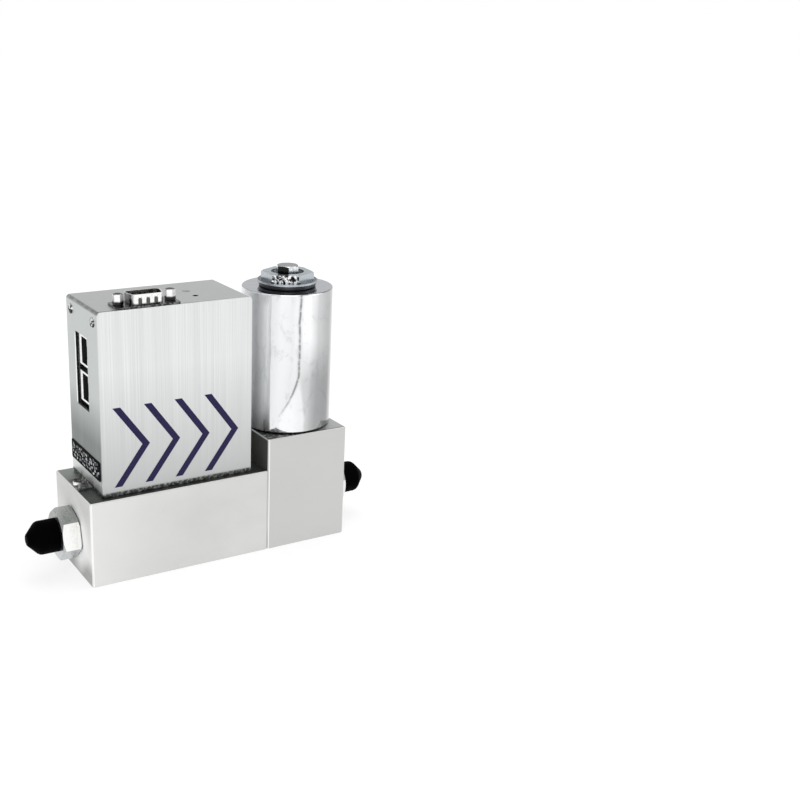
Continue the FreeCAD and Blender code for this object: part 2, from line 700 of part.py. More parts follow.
def inlet_screen():
    start = V(LEFT_X + FITTING_STUD_LENGTH, 0, PORT_HEIGHT)
    disc = rod(FITTING_STUD_R, SCREEN_THICKNESS, start, X_AXIS)
    holes = []
    for count, radius in SCREEN_RINGS:
        for i in range(count):
            angle = 2 * math.pi * i / count
            offset = V(0, radius * math.cos(angle), radius * math.sin(angle))
            holes.append(rod(SCREEN_HOLE_R, SCREEN_THICKNESS, start + offset, X_AXIS))
    return cut_all(disc, holes)


def laminar_element():
    """Plug of fine straight passages, with two grooves that feed the bypass."""
    start = V(ELEMENT_START, 0, PORT_HEIGHT)
    plug = rod(ELEMENT_R, ELEMENT_LENGTH, start, X_AXIS)
    tools = []
    outer_row = ELEMENT_MIDDLE_ROW // 2
    for row in range(-outer_row, outer_row + 1):
        count = ELEMENT_MIDDLE_ROW - abs(row)
        for i in range(count):
            y = (i - (count - 1) / 2) * ELEMENT_HOLE_PITCH
            z = row * ELEMENT_HOLE_PITCH * math.sin(math.pi / 3)
            tools.append(rod(ELEMENT_HOLE_R, ELEMENT_LENGTH, start + V(0, y, z), X_AXIS))
    for x in GROOVE_XS:
        base = V(x - ELEMENT_GROOVE_WIDTH / 2, 0, PORT_HEIGHT)
        tools.append(ring(2 * ELEMENT_R, ELEMENT_R - ELEMENT_GROOVE_DEPTH, ELEMENT_GROOVE_WIDTH, base, X_AXIS))
        tools.append(rod(PICKUP_HOLE_R, ELEMENT_R, V(x, 0, PORT_HEIGHT), Z_AXIS))
    return cut_all(plug, tools)


def sensor_plate_outline():
    half_length = SENSOR_BOARD_LENGTH / 2
    half_width = SENSOR_BOARD_WIDTH / 2
    return rounded_rectangle(ELEMENT_X - half_length, ELEMENT_X + half_length, -half_width, half_width,
                             BOARD_CORNER_R)


def sensor_screw_holes(base, height):
    return [rod(SENSOR_SCREW_R + SLIP_GAP, height, V(x, y, base), Z_AXIS) for x, y in sensor_screw_places()]


def sensor_gasket():
    gasket = outline_solid(sensor_plate_outline(), level_plane(FLOW_BLOCK_HEIGHT), V(0, 0, GASKET_THICKNESS))
    tools = sensor_screw_holes(FLOW_BLOCK_HEIGHT, GASKET_THICKNESS)
    tools.append(bypass_slot(FLOW_BLOCK_HEIGHT, GASKET_THICKNESS))
    return cut_all(gasket, tools)


def sensor_board():
    board = outline_solid(sensor_plate_outline(), level_plane(SENSOR_BOARD_BASE), V(0, 0, BOARD_THICKNESS))
    return cut_all(board, sensor_screw_holes(SENSOR_BOARD_BASE, BOARD_THICKNESS))


def flow_sensor_chip():
    half = CHIP_SIZE / 2
    low = SENSOR_BOARD_BASE - CHIP_HEIGHT
    return box(ELEMENT_X - half, ELEMENT_X + half, -half, half, low, SENSOR_BOARD_BASE)


def sensor_board_screws():
    length = BOARD_THICKNESS + GASKET_THICKNESS + SENSOR_SCREW_GRIP
    screws = []
    for x, y in sensor_screw_places():
        screws.append(domed_screw(SENSOR_SCREW_R - THREAD_GAP, SENSOR_SCREW_HEAD_R, SENSOR_SCREW_HEAD_HEIGHT,
                                  length, V(x, y, SENSOR_BOARD_TOP), Z_AXIS))
    return Part.makeCompound(screws)


def jack_centres():
    """Heights of the lower and the upper jack."""
    return [JACK_MIDDLE_Z - JACK_PITCH / 2, JACK_MIDDLE_Z + JACK_PITCH / 2]


def side_screw_places():
    z = HOUSING_TOP - SIDE_SCREW_FROM_TOP
    return [(y, z) for y in (HOUSING_FRONT + SIDE_SCREW_FROM_FACE, HOUSING_REAR - SIDE_SCREW_FROM_FACE)]


def foot_tab(wall_x, outward):
    """Tab bent outwards from the foot of a side wall, with its screw hole."""
    half = TAB_WIDTH / 2
    shoulder = HOUSING_BASE + TAB_RELIEF_HEIGHT + TAB_ROOT
    path = [(-TAB_REACH, HOUSING_BASE + COVER_SHEET), (0, HOUSING_BASE + COVER_SHEET), (0, shoulder)]
    outline = folded_outline(path, COVER_SHEET, BEND_INNER_R)
    strip = outline_solid(outline, front_plane(-half), V(0, TAB_WIDTH, 0))
    tip_corners = rounded_rectangle(-TAB_REACH, TAB_REACH, -half, half, TAB_CORNER_R)
    strip = strip.common(outline_solid(tip_corners, level_plane(HOUSING_BASE), V(0, 0, TAB_REACH + shoulder)))
    hole_x = -FOOT_SCREW_FROM_WALL
    strip = strip.cut(rod(FOOT_SCREW_R + SLIP_GAP, COVER_SHEET, V(hole_x, 0, HOUSING_BASE), Z_AXIS))
    if outward.x > 0:
        strip = strip.mirror(V(0, 0, 0), X_AXIS)
    strip.translate(V(wall_x, 0, 0))
    return strip


def folded_cover():
    """Left wall, top and right wall from one sheet, with the window, the cut-outs of the top and a foot tab."""
    front = HOUSING_FRONT + PANEL_SHEET
    rear = HOUSING_REAR - PANEL_SHEET
    path = [(HOUSING_LEFT, HOUSING_BASE), (HOUSING_LEFT, HOUSING_TOP), (HOUSING_RIGHT, HOUSING_TOP),
            (HOUSING_RIGHT, HOUSING_BASE)]
    cover = outline_solid(folded_outline(path, COVER_SHEET, BEND_INNER_R), front_plane(front), V(0, rear - front, 0))
    half_notch = TAB_WIDTH / 2 + TAB_RELIEF
    low = HOUSING_BASE
    tools = []
    for x0 in (HOUSING_LEFT, HOUSING_RIGHT - COVER_SHEET):
        tools.append(box(x0, x0 + COVER_SHEET, -half_notch, half_notch, low, low + TAB_RELIEF_HEIGHT))
    cover = cut_all(cover, tools)
    cover = fused([cover, foot_tab(HOUSING_LEFT, X_AXIS * -1), foot_tab(HOUSING_RIGHT, X_AXIS)])
    window_low = jack_centres()[0] - JACK_WIDTH / 2 - WINDOW_LOW_MARGIN
    window_high = jack_centres()[1] + JACK_WIDTH / 2 + WINDOW_HIGH_MARGIN
    window = rounded_rectangle(JACK_FRONT_Y - WINDOW_FRONT_MARGIN, JACK_REAR_Y + WINDOW_REAR_MARGIN, window_low,
                               window_high, WINDOW_CORNER_R)
    tools = [outline_solid(window, side_plane(HOUSING_LEFT), V(COVER_SHEET, 0, 0))]
    top_base = HOUSING_TOP - COVER_SHEET
    gap = SLIP_GAP * 2
    tools.append(outline_solid(dsub_outline(DSUB_SHELL_LENGTH + gap, DSUB_SHELL_WIDTH + gap, DSUB_SHELL_CORNER_R),
                               level_plane(top_base), V(0, 0, COVER_SHEET)))
    for x in jackscrew_xs():
        tools.append(rod(JACKSCREW_SHANK_R + SLIP_GAP, COVER_SHEET, V(x, DSUB_Y, top_base), Z_AXIS))
    tools.append(rod(ZERO_HOLE_R, COVER_SHEET, V(HOUSING_X + ZERO_OFFSET_X, ZERO_Y, top_base), Z_AXIS))
    tools.append(rod(LIGHT_PIPE_R + SEAL_GAP, COVER_SHEET, V(HOUSING_X + LAMP_OFFSET_X, LAMP_Y, top_base), Z_AXIS))
    for y, z in side_screw_places():
        for x0 in (HOUSING_LEFT, HOUSING_RIGHT - COVER_SHEET):
            tools.append(rod(SIDE_SCREW_R + SLIP_GAP, COVER_SHEET, V(x0, y, z), X_AXIS))
    return cut_all(cover, tools)


def face_panel(face_y, inward):
    """Flat panel over the edges of the cover, with a return behind it along each side wall."""
    outer_r = BEND_INNER_R + COVER_SHEET
    outline = [(HOUSING_LEFT, HOUSING_BASE, PANEL_FOOT_CORNER_R), (HOUSING_RIGHT, HOUSING_BASE, PANEL_FOOT_CORNER_R),
               (HOUSING_RIGHT, HOUSING_TOP, outer_r), (HOUSING_LEFT, HOUSING_TOP, outer_r)]
    inner_y = face_y + inward * PANEL_SHEET
    plate = outline_solid(outline, front_plane(face_y), V(0, inward * PANEL_SHEET, 0))
    rim = [edge for edge in plate.Edges if abs(edge.BoundBox.YMin - face_y) < 1e-6
           and abs(edge.BoundBox.YMax - face_y) < 1e-6]
    plate = plate.makeChamfer(PANEL_EDGE, rim)
    y0, y1 = sorted((inner_y, inner_y + inward * RETURN_DEPTH))
    low = HOUSING_BASE + RETURN_TOP_GAP
    high = HOUSING_TOP - COVER_SHEET - RETURN_TOP_GAP
    left = HOUSING_LEFT + COVER_SHEET + SEAL_GAP
    right = HOUSING_RIGHT - COVER_SHEET - SEAL_GAP
    pieces = [plate, box(left, left + PANEL_SHEET, y0, y1, low, high),
              box(right - PANEL_SHEET, right, y0, y1, low, high)]
    panel = fused(pieces)
    for y, z in side_screw_places():
        if y0 < y < y1:
            panel = panel.cut(rod(SIDE_SCREW_R, HOUSING_LENGTH, V(HOUSING_LEFT, y, z), X_AXIS))
    return panel


def side_screws():
    screws = []
    for y, z in side_screw_places():
        for x, outward in ((HOUSING_LEFT, X_AXIS * -1), (HOUSING_RIGHT, X_AXIS)):
            screws.append(domed_screw(SIDE_SCREW_R - THREAD_GAP, SIDE_SCREW_HEAD_R, SIDE_SCREW_HEAD_HEIGHT,
                                      SIDE_SCREW_LENGTH, V(x, y, z), outward))
    return Part.makeCompound(screws)


def foot_screws():
    screws = []
    for x in foot_screw_places():
        seat = V(x, 0, HOUSING_BASE + COVER_SHEET)
        screws.append(cap_screw(FOOT_SCREW_R - THREAD_GAP, FOOT_SCREW_HEAD_R, FOOT_SCREW_HEAD_HEIGHT,
                                FOOT_SCREW_LENGTH, seat, Z_AXIS))
    return Part.makeCompound(screws)


def side_label():
    front = HOUSING_FRONT + LABEL_FRONT_INSET
    rear = HOUSING_REAR - LABEL_REAR_INSET
    low = HOUSING_BASE + LABEL_LIFT
    outline = rounded_rectangle(front, rear, low, low + LABEL_HEIGHT, LABEL_CORNER_R)
    return outline_solid(outline, side_plane(HOUSING_LEFT - LABEL_THICKNESS), V(LABEL_THICKNESS, 0, 0))


def port_outline(centre_z):
    """Mouth of a network jack: the plug's room and the stepped notch for its latch."""
    rear = JACK_REAR_Y - SHIELD_WALL - PORT_REAR_MARGIN
    front = rear - PORT_THICKNESS
    half = PORT_WIDTH / 2
    half_latch = LATCH_WIDTH / 2
    return [
        (rear, centre_z - half, 0),
        (rear, centre_z + half, 0),
        (front, centre_z + half, 0),
        (front, centre_z + half_latch, 0),
        (front - LATCH_DEPTH, centre_z + half_latch, 0),
        (front - LATCH_DEPTH, centre_z - half_latch, 0),
        (front, centre_z - half_latch, 0),
        (front, centre_z - half, 0),
    ]


def jack_shield(centre_z):
    half = JACK_WIDTH / 2
    wall = SHIELD_WALL
    front = JACK_FRONT_Y
    rear = JACK_REAR_Y
    x0 = JACK_FACE_X
    x1 = x0 + JACK_LENGTH
    shell = box(x0, x1, front, rear, centre_z - half, centre_z + half)
    inside = box(x0 + wall, x1 - wall, front + wall, rear - wall, centre_z - half + wall, centre_z + half - wall)
    mouth = outline_solid(port_outline(centre_z), side_plane(x0), V(wall, 0, 0))
    return cut_all(shell, [inside, mouth])


def jack_insert(centre_z):
    half = JACK_WIDTH / 2 - SHIELD_WALL
    x0 = JACK_FACE_X + SHIELD_WALL
    x1 = JACK_FACE_X + JACK_LENGTH - SHIELD_WALL
    body = box(x0, x1, JACK_FRONT_Y + SHIELD_WALL, JACK_REAR_Y - SHIELD_WALL, centre_z - half, centre_z + half)
    room = outline_solid(port_outline(centre_z), side_plane(x0), V(PORT_DEPTH - SHIELD_WALL, 0, 0))
    return body.cut(room)


def jack_contacts():
    """Eight springy wires in each jack, rising from the mouth's floor by the main board."""
    contacts = []
    floor = JACK_REAR_Y - SHIELD_WALL - PORT_REAR_MARGIN - CONTACT_R
    mouth = JACK_FACE_X + SHIELD_WALL + CONTACT_INSET
    for centre_z in jack_centres():
        for i in range(CONTACT_COUNT):
            z = centre_z + (i - (CONTACT_COUNT - 1) / 2) * CONTACT_PITCH
            base = V(mouth, floor, z)
            tip = V(mouth + CONTACT_REACH, floor - CONTACT_RISE, z)
            run = tip - base
            contacts.append(rod(CONTACT_R, run.Length, base, run))
    return Part.makeCompound(contacts)


def main_board_corners():
    """Places of the four standoffs as (x, z)."""
    middle_z = HOUSING_BASE + MAIN_BOARD_LIFT + MAIN_BOARD_HEIGHT / 2
    along = MAIN_BOARD_LENGTH - 2 * STANDOFF_INSET
    up = MAIN_BOARD_HEIGHT - 2 * STANDOFF_INSET
    return [(HOUSING_X + dx, middle_z + dz) for dx, dz in corners_of(along, up)]


def main_board():
    x0 = HOUSING_X - MAIN_BOARD_LENGTH / 2
    z0 = HOUSING_BASE + MAIN_BOARD_LIFT
    outline = rounded_rectangle(x0, x0 + MAIN_BOARD_LENGTH, z0, z0 + MAIN_BOARD_HEIGHT, BOARD_CORNER_R)
    board = outline_solid(outline, front_plane(MAIN_BOARD_FRONT), V(0, BOARD_THICKNESS, 0))
    holes = []
    for x, z in main_board_corners():
        holes.append(rod(BOARD_SCREW_R + SLIP_GAP, BOARD_THICKNESS, V(x, MAIN_BOARD_FRONT, z), Y_AXIS))
    return cut_all(board, holes)


def main_board_chips():
    """Processor, driver and power parts on the front of the main board."""
    chips = []
    for along, up, length, height, thickness in CHIP_FORMS:
        x = HOUSING_X + (along - 0.5) * MAIN_BOARD_LENGTH
        z = HOUSING_BASE + MAIN_BOARD_LIFT + up * MAIN_BOARD_HEIGHT
        chips.append(box(x - length / 2, x + length / 2, MAIN_BOARD_FRONT - thickness, MAIN_BOARD_FRONT,
                         z - height / 2, z + height / 2))
    return Part.makeCompound(chips)


def board_standoffs():
    length = HOUSING_REAR - PANEL_SHEET - MAIN_BOARD_REAR
    posts = []
    for x, z in main_board_corners():
        base = V(x, MAIN_BOARD_REAR, z)
        post = hexagon(STANDOFF_FLATS, length, base, Y_AXIS, 0)
        posts.append(post.cut(rod(BOARD_SCREW_R, BOARD_SCREW_GRIP + SLIP_GAP, base, Y_AXIS)))
    return Part.makeCompound(posts)


def board_screws():
    length = BOARD_THICKNESS + BOARD_SCREW_GRIP
    screws = []
    for x, z in main_board_corners():
        screws.append(domed_screw(BOARD_SCREW_R - THREAD_GAP, BOARD_SCREW_HEAD_R, BOARD_SCREW_HEAD_HEIGHT, length,
                                  V(x, MAIN_BOARD_FRONT, z), Y_AXIS * -1))
    return Part.makeCompound(screws)


def upper_board():
    x0 = UPPER_BOARD_X - UPPER_BOARD_LENGTH / 2
    rear = MAIN_BOARD_FRONT - SEAL_GAP
    outline = rounded_rectangle(x0, x0 + UPPER_BOARD_LENGTH, rear - UPPER_BOARD_WIDTH, rear, BOARD_CORNER_R)
    board = outline_solid(outline, level_plane(UPPER_BOARD_BASE), V(0, 0, BOARD_THICKNESS))
    holes = []
    for x, y in dsub_pin_places():
        holes.append(rod(DSUB_PIN_R + SEAL_GAP, BOARD_THICKNESS, V(x, y, UPPER_BOARD_BASE), Z_AXIS))
    return cut_all(board, holes)


def board_headers():
    """One header under the upper board and one on the sensor board, both against the main board."""
    rear = MAIN_BOARD_FRONT
    front = rear - HEADER_THICKNESS
    upper_x = UPPER_BOARD_X + UPPER_HEADER_SHIFT
    half = HEADER_LENGTH / 2
    upper = box(upper_x - half, upper_x + half, front, rear, UPPER_BOARD_BASE - HEADER_HEIGHT, UPPER_BOARD_BASE)
    low = SENSOR_BOARD_TOP
    lower_top = HOUSING_BASE + MAIN_BOARD_LIFT + HEADER_HEIGHT
    lower = box(ELEMENT_X - half, ELEMENT_X + half, front, rear, low, lower_top)
    return Part.makeCompound([upper, lower])


def dsub_outline(length, width, radius):
    """D-shaped outline about the connector's centre. The wide side is at the rear."""
    lean = width * math.tan(math.radians(DSUB_SLANT))
    half = length / 2
    y = width / 2
    front = DSUB_Y - y
    rear = DSUB_Y + y
    return [(DSUB_X - half + lean, front, radius), (DSUB_X + half - lean, front, radius),
            (DSUB_X + half, rear, radius), (DSUB_X - half, rear, radius)]


def jackscrew_xs():
    return [DSUB_X - JACKSCREW_PITCH / 2, DSUB_X + JACKSCREW_PITCH / 2]


def dsub_pin_places():
    """Four pins in the front row and five in the rear row."""
    places = []
    for count, y in ((4, DSUB_Y - DSUB_ROW_PITCH / 2), (5, DSUB_Y + DSUB_ROW_PITCH / 2)):
        for i in range(count):
            places.append((DSUB_X + (i - (count - 1) / 2) * DSUB_PIN_PITCH, y))
    return places


def dsub_inner_outline(gap):
    shrink = 2 * (DSUB_SHELL_WALL + gap)
    radius = DSUB_SHELL_CORNER_R - DSUB_SHELL_WALL
    return dsub_outline(DSUB_SHELL_LENGTH - shrink, DSUB_SHELL_WIDTH - shrink, radius)


def dsub_shell():
    """Flange and D-shaped skirt pressed from one sheet, with dimples in both long sides."""
    half_length = DSUB_FLANGE_LENGTH / 2
    half_width = DSUB_FLANGE_WIDTH / 2
    flange_outline = rounded_rectangle(DSUB_X - half_length, DSUB_X + half_length, DSUB_Y - half_width,
                                       DSUB_Y + half_width, DSUB_FLANGE_CORNER_R)
    flange = outline_solid(flange_outline, level_plane(HOUSING_TOP), V(0, 0, DSUB_FLANGE_THICKNESS))
    skirt_outline = dsub_outline(DSUB_SHELL_LENGTH, DSUB_SHELL_WIDTH, DSUB_SHELL_CORNER_R)
    skirt = outline_solid(skirt_outline, level_plane(HOUSING_TOP),
                          V(0, 0, DSUB_FLANGE_THICKNESS + DSUB_SHELL_HEIGHT))
    shell = flange.fuse(skirt).removeSplitter()
    tools = [outline_solid(dsub_inner_outline(0), level_plane(HOUSING_TOP),
                           V(0, 0, DSUB_FLANGE_THICKNESS + DSUB_SHELL_HEIGHT))]
    for x in jackscrew_xs():
        tools.append(rod(JACKSCREW_SHANK_R + SLIP_GAP, DSUB_FLANGE_THICKNESS, V(x, DSUB_Y, HOUSING_TOP), Z_AXIS))
    offset = DSUB_SHELL_WIDTH / 2 + DSUB_DIMPLE_R - DSUB_DIMPLE_DEPTH
    for side in (-1, 1):
        for step in (-1, 0, 1):
            base = V(DSUB_X + step * DSUB_DIMPLE_PITCH, DSUB_Y + side * offset, DSUB_FLANGE_TOP + DSUB_DIMPLE_LIFT)
            tools.append(rod(DSUB_DIMPLE_R, DSUB_DIMPLE_LENGTH, base, Z_AXIS))
    return cut_all(shell, tools)


def dsub_insulator():
    base = HOUSING_TOP - COVER_SHEET - DSUB_BODY_DEPTH
    height = DSUB_FLANGE_TOP + DSUB_FLOOR - base
    body = outline_solid(dsub_inner_outline(SEAL_GAP), level_plane(base), V(0, 0, height))
    holes = [rod(DSUB_PIN_R + SEAL_GAP, height, V(x, y, base), Z_AXIS) for x, y in dsub_pin_places()]
    return cut_all(body, holes)


def dsub_pins():
    base = UPPER_BOARD_BASE - DSUB_PIN_TAIL
    top = DSUB_FLANGE_TOP + DSUB_PIN_HEIGHT
    pins = []
    for x, y in dsub_pin_places():
        pin = rod(DSUB_PIN_R, top - base - DSUB_PIN_R, V(x, y, base), Z_AXIS)
        pins.append(pin.fuse(Part.makeSphere(DSUB_PIN_R, V(x, y, top - DSUB_PIN_R))))
    return Part.makeCompound(pins)


def dsub_jackscrews():
    """Two hex jackscrews on the flange, each with its nut under the top."""
    parts = []
    shank_end = HOUSING_TOP - COVER_SHEET - JACKNUT_HEIGHT
    for x in jackscrew_xs():
        seat = V(x, DSUB_Y, DSUB_FLANGE_TOP)
        nut_base = V(x, DSUB_Y, shank_end)
        screw = chamfered_hexagon(JACKSCREW_FLATS, JACKSCREW_HEIGHT, JACKSCREW_CHAMFER, seat, Z_AXIS, 0)
        screw = screw.fuse(rod(JACKSCREW_SHANK_R, DSUB_FLANGE_TOP - shank_end, nut_base, Z_AXIS))
        bore_base = seat + Z_AXIS * JACKSCREW_FLOOR
        parts.append(screw.cut(rod(JACKSCREW_BORE_R, JACKSCREW_HEIGHT - JACKSCREW_FLOOR, bore_base, Z_AXIS)))
        nut = hexagon(JACKSCREW_FLATS, JACKNUT_HEIGHT, nut_base, Z_AXIS, 0)
        parts.append(nut.cut(rod(JACKSCREW_SHANK_R + SEAL_GAP, JACKNUT_HEIGHT, nut_base, Z_AXIS)))
    return Part.makeCompound(parts)


def status_lamp():
    x = HOUSING_X + LAMP_OFFSET_X
    half = LAMP_SIZE / 2
    return box(x - half, x + half, LAMP_Y - half, LAMP_Y + half, UPPER_BOARD_TOP, UPPER_BOARD_TOP + LAMP_HEIGHT)


def status_light_pipe():
    """Clear rod from the lamp to the top face, with a collar under the sheet."""
    x = HOUSING_X + LAMP_OFFSET_X
    base = UPPER_BOARD_TOP + LAMP_HEIGHT
    under = HOUSING_TOP - COVER_SHEET
    pipe = rod(LIGHT_PIPE_R, HOUSING_TOP - base, V(x, LAMP_Y, base), Z_AXIS)
    collar = rod(LIGHT_PIPE_COLLAR_R, LIGHT_PIPE_COLLAR_HEIGHT, V(x, LAMP_Y, under - LIGHT_PIPE_COLLAR_HEIGHT), Z_AXIS)
    return pipe.fuse(collar).removeSplitter()


def zero_switch():
    x = HOUSING_X + ZERO_OFFSET_X
    half = SWITCH_SIZE / 2
    body = box(x - half, x + half, ZERO_Y - half, ZERO_Y + half, UPPER_BOARD_TOP, UPPER_BOARD_TOP + SWITCH_HEIGHT)
    depth = SWITCH_BUTTON_SEAT + SWITCH_TRAVEL + SLIP_GAP
    hole = rod(SWITCH_BUTTON_R + RUNNING_GAP, depth, V(x, ZERO_Y, UPPER_BOARD_TOP + SWITCH_HEIGHT - depth), Z_AXIS)
    return body.cut(hole)


def zero_button():
    x = HOUSING_X + ZERO_OFFSET_X
    base = UPPER_BOARD_TOP + SWITCH_HEIGHT - SWITCH_BUTTON_SEAT
    return rod(SWITCH_BUTTON_R, SWITCH_BUTTON_SEAT + SWITCH_BUTTON_RISE, V(x, ZERO_Y, base), Z_AXIS)


def core_tube():
    """Threaded collar and guide tube turned from one bar, closed at the top and threaded for the nut."""
    height = TUBE_TOP - COLLAR_BASE
    profile = [(0, 0), (COLLAR_R, 0), (COLLAR_R, COLLAR_LENGTH), (TUBE_R, COLLAR_LENGTH), (TUBE_R, height),
               (0, height)]
    tube = revolved(profile, V(VALVE_X, 0, COLLAR_BASE), Z_AXIS)
    inside = rod(TUBE_BORE_R, height - TUBE_END_WALL, V(VALVE_X, 0, COLLAR_BASE), Z_AXIS)
    thread = rod(TOP_SCREW_R, TUBE_END_WALL, V(VALVE_X, 0, TUBE_TOP - TUBE_END_WALL), Z_AXIS)
    return cut_all(tube, [inside, thread])


def core_tube_seal():
    section = TUBE_SEAL_SECTION_R - SEAL_GAP
    return torus(TUBE_SEAL_R, section, V(VALVE_X, 0, COLLAR_BASE - TUBE_SEAL_SECTION_R), Z_AXIS)


def fixed_core():
    top = TUBE_TOP - TUBE_END_WALL
    core = rod(TUBE_BORE_R - SEAL_GAP, top - FIXED_CORE_BASE, V(VALVE_X, 0, FIXED_CORE_BASE), Z_AXIS)
    depth = TOP_SCREW_LENGTH - TOP_WASHER_THICKNESS - TUBE_END_WALL + SLIP_GAP
    return core.cut(rod(TOP_SCREW_R, depth, V(VALVE_X, 0, top - depth), Z_AXIS))


def plunger():
    """Armature with a spring pocket above, a pad recess below and two gas grooves along its sides."""
    radius = TUBE_BORE_R - RUNNING_GAP
    body = rod(radius, PLUNGER_LENGTH, V(VALVE_X, 0, PLUNGER_BASE), Z_AXIS)
    recess = PAD_THICKNESS - PAD_STAND_OUT
    pocket_base = PLUNGER_TOP - SPRING_POCKET_DEPTH
    tools = [rod(PAD_R + SEAL_GAP, recess, V(VALVE_X, 0, PLUNGER_BASE), Z_AXIS)]
    tools.append(rod(SPRING_POCKET_R, SPRING_POCKET_DEPTH, V(VALVE_X, 0, pocket_base), Z_AXIS))
    for side in (-1, 1):
        base = V(VALVE_X, side * radius, PLUNGER_BASE)
        tools.append(rod(PLUNGER_GROOVE_R, PLUNGER_LENGTH, base, Z_AXIS))
    return cut_all(body, tools)


def plunger_seat_pad():
    return rod(PAD_R, PAD_THICKNESS, V(VALVE_X, 0, LIP_TOP), Z_AXIS)


def plunger_spring():
    """Round wire coil between the pocket's floor and the fixed core."""
    low = PLUNGER_TOP - SPRING_POCKET_DEPTH + SPRING_WIRE_R + SEAL_GAP
    high = FIXED_CORE_BASE - SPRING_WIRE_R - SEAL_GAP
    helix = Part.makeHelix((high - low) / SPRING_TURNS, high - low, SPRING_R)
    section = Part.Wire(Part.makeCircle(SPRING_WIRE_R, V(SPRING_R, 0, 0), Y_AXIS))
    coil = Part.Wire(helix).makePipeShell([section], True, True)
    coil.translate(V(VALVE_X, 0, low))
    return coil


def valve_orifice():
    """Seat insert: O-ring groove, through bore and a raised lip under the pad."""
    groove_base = ORIFICE_LENGTH / 2 - ORIFICE_SEAL_SECTION_R - SEAL_GAP
    groove_top = ORIFICE_LENGTH / 2 + ORIFICE_SEAL_SECTION_R + SEAL_GAP
    groove_r = ORIFICE_R - 2 * ORIFICE_SEAL_SECTION_R
    profile = [(ORIFICE_BORE_R, 0), (ORIFICE_R, 0), (ORIFICE_R, groove_base), (groove_r, groove_base),
               (groove_r, groove_top), (ORIFICE_R, groove_top), (ORIFICE_R, ORIFICE_LENGTH),
               (ORIFICE_LIP_R, ORIFICE_LENGTH), (ORIFICE_LIP_R, ORIFICE_LENGTH + ORIFICE_LIP_HEIGHT),
               (ORIFICE_BORE_R, ORIFICE_LENGTH + ORIFICE_LIP_HEIGHT)]
    return revolved(profile, V(VALVE_X, 0, ORIFICE_BASE), Z_AXIS)


def valve_orifice_seal():
    section = ORIFICE_SEAL_SECTION_R - SEAL_GAP / 2
    return torus(ORIFICE_R - ORIFICE_SEAL_SECTION_R + SEAL_GAP / 2, section,
                 V(VALVE_X, 0, ORIFICE_BASE + ORIFICE_LENGTH / 2), Z_AXIS)


def coil_seat_ring():
    return ring(SEAT_RING_R, TUBE_R + SLIP_GAP, SEAT_RING_THICKNESS, V(VALVE_X, 0, VALVE_BLOCK_HEIGHT), Z_AXIS)


def coil_case():
    """Turned cup with a bore for the core tube, open at the bottom."""
    cup = rod(COIL_R, COIL_HEIGHT, V(VALVE_X, 0, COIL_BASE), Z_AXIS)
    cup = cup.makeFillet(COIL_EDGE_R, cup.Edges[0:1] + cup.Edges[2:3])
    inside = rod(COIL_R - COIL_WALL, COIL_HEIGHT - COIL_TOP_WALL, V(VALVE_X, 0, COIL_BASE), Z_AXIS)
    bore = rod(TUBE_R + SLIP_GAP, COIL_HEIGHT, V(VALVE_X, 0, COIL_BASE), Z_AXIS)
    return cut_all(cup, [inside, bore])


def coil_base_plate():
    return ring(COIL_R - COIL_WALL - SEAL_GAP, TUBE_R + SLIP_GAP, COIL_BASE_THICKNESS, V(VALVE_X, 0, COIL_BASE),
                Z_AXIS)


def bobbin_span():
    low = COIL_BASE + COIL_BASE_THICKNESS
    high = COIL_TOP - COIL_TOP_WALL
    return low, high


def coil_bobbin():
    low, high = bobbin_span()
    inner = TUBE_R + 2 * SLIP_GAP
    hub = inner + BOBBIN_WALL
    flange = COIL_R - COIL_WALL - BOBBIN_FLANGE_GAP
    height = high - low
    profile = [(inner, 0), (flange, 0), (flange, BOBBIN_FLANGE), (hub, BOBBIN_FLANGE),
               (hub, height - BOBBIN_FLANGE), (flange, height - BOBBIN_FLANGE), (flange, height), (inner, height)]
    return revolved(profile, V(VALVE_X, 0, low), Z_AXIS)


def coil_winding():
    low, high = bobbin_span()
    inner = TUBE_R + 2 * SLIP_GAP + BOBBIN_WALL
    height = high - low - 2 * BOBBIN_FLANGE
    return ring(WINDING_R, inner, height, V(VALVE_X, 0, low + BOBBIN_FLANGE), Z_AXIS)


def coil_top_ring():
    """Black rubber ring between the coil and the washer, with a rounded outer edge."""
    band = rod(TOP_RING_R, TOP_RING_THICKNESS, V(VALVE_X, 0, COIL_TOP), Z_AXIS)
    band = band.makeFillet(TOP_RING_EDGE_R, band.Edges[0:1] + band.Edges[2:3])
    return band.cut(rod(TUBE_R + SLIP_GAP, TOP_RING_THICKNESS, V(VALVE_X, 0, COIL_TOP), Z_AXIS))


def coil_washer():
    return ring(WASHER_R, TUBE_R + SLIP_GAP, WASHER_THICKNESS, V(VALVE_X, 0, WASHER_BASE), Z_AXIS)


def coil_nut():
    nut = chamfered_hexagon(NUT_FLATS, NUT_HEIGHT, NUT_CHAMFER, V(VALVE_X, 0, NUT_BASE), Z_AXIS,
                            QUARTER_TURN + NUT_TURN)
    return nut.cut(rod(TUBE_R + SEAL_GAP, NUT_HEIGHT, V(VALVE_X, 0, NUT_BASE), Z_AXIS))


def top_screw_washer():
    return ring(TOP_WASHER_R, TOP_SCREW_R + SEAL_GAP, TOP_WASHER_THICKNESS, V(VALVE_X, 0, TUBE_TOP), Z_AXIS)


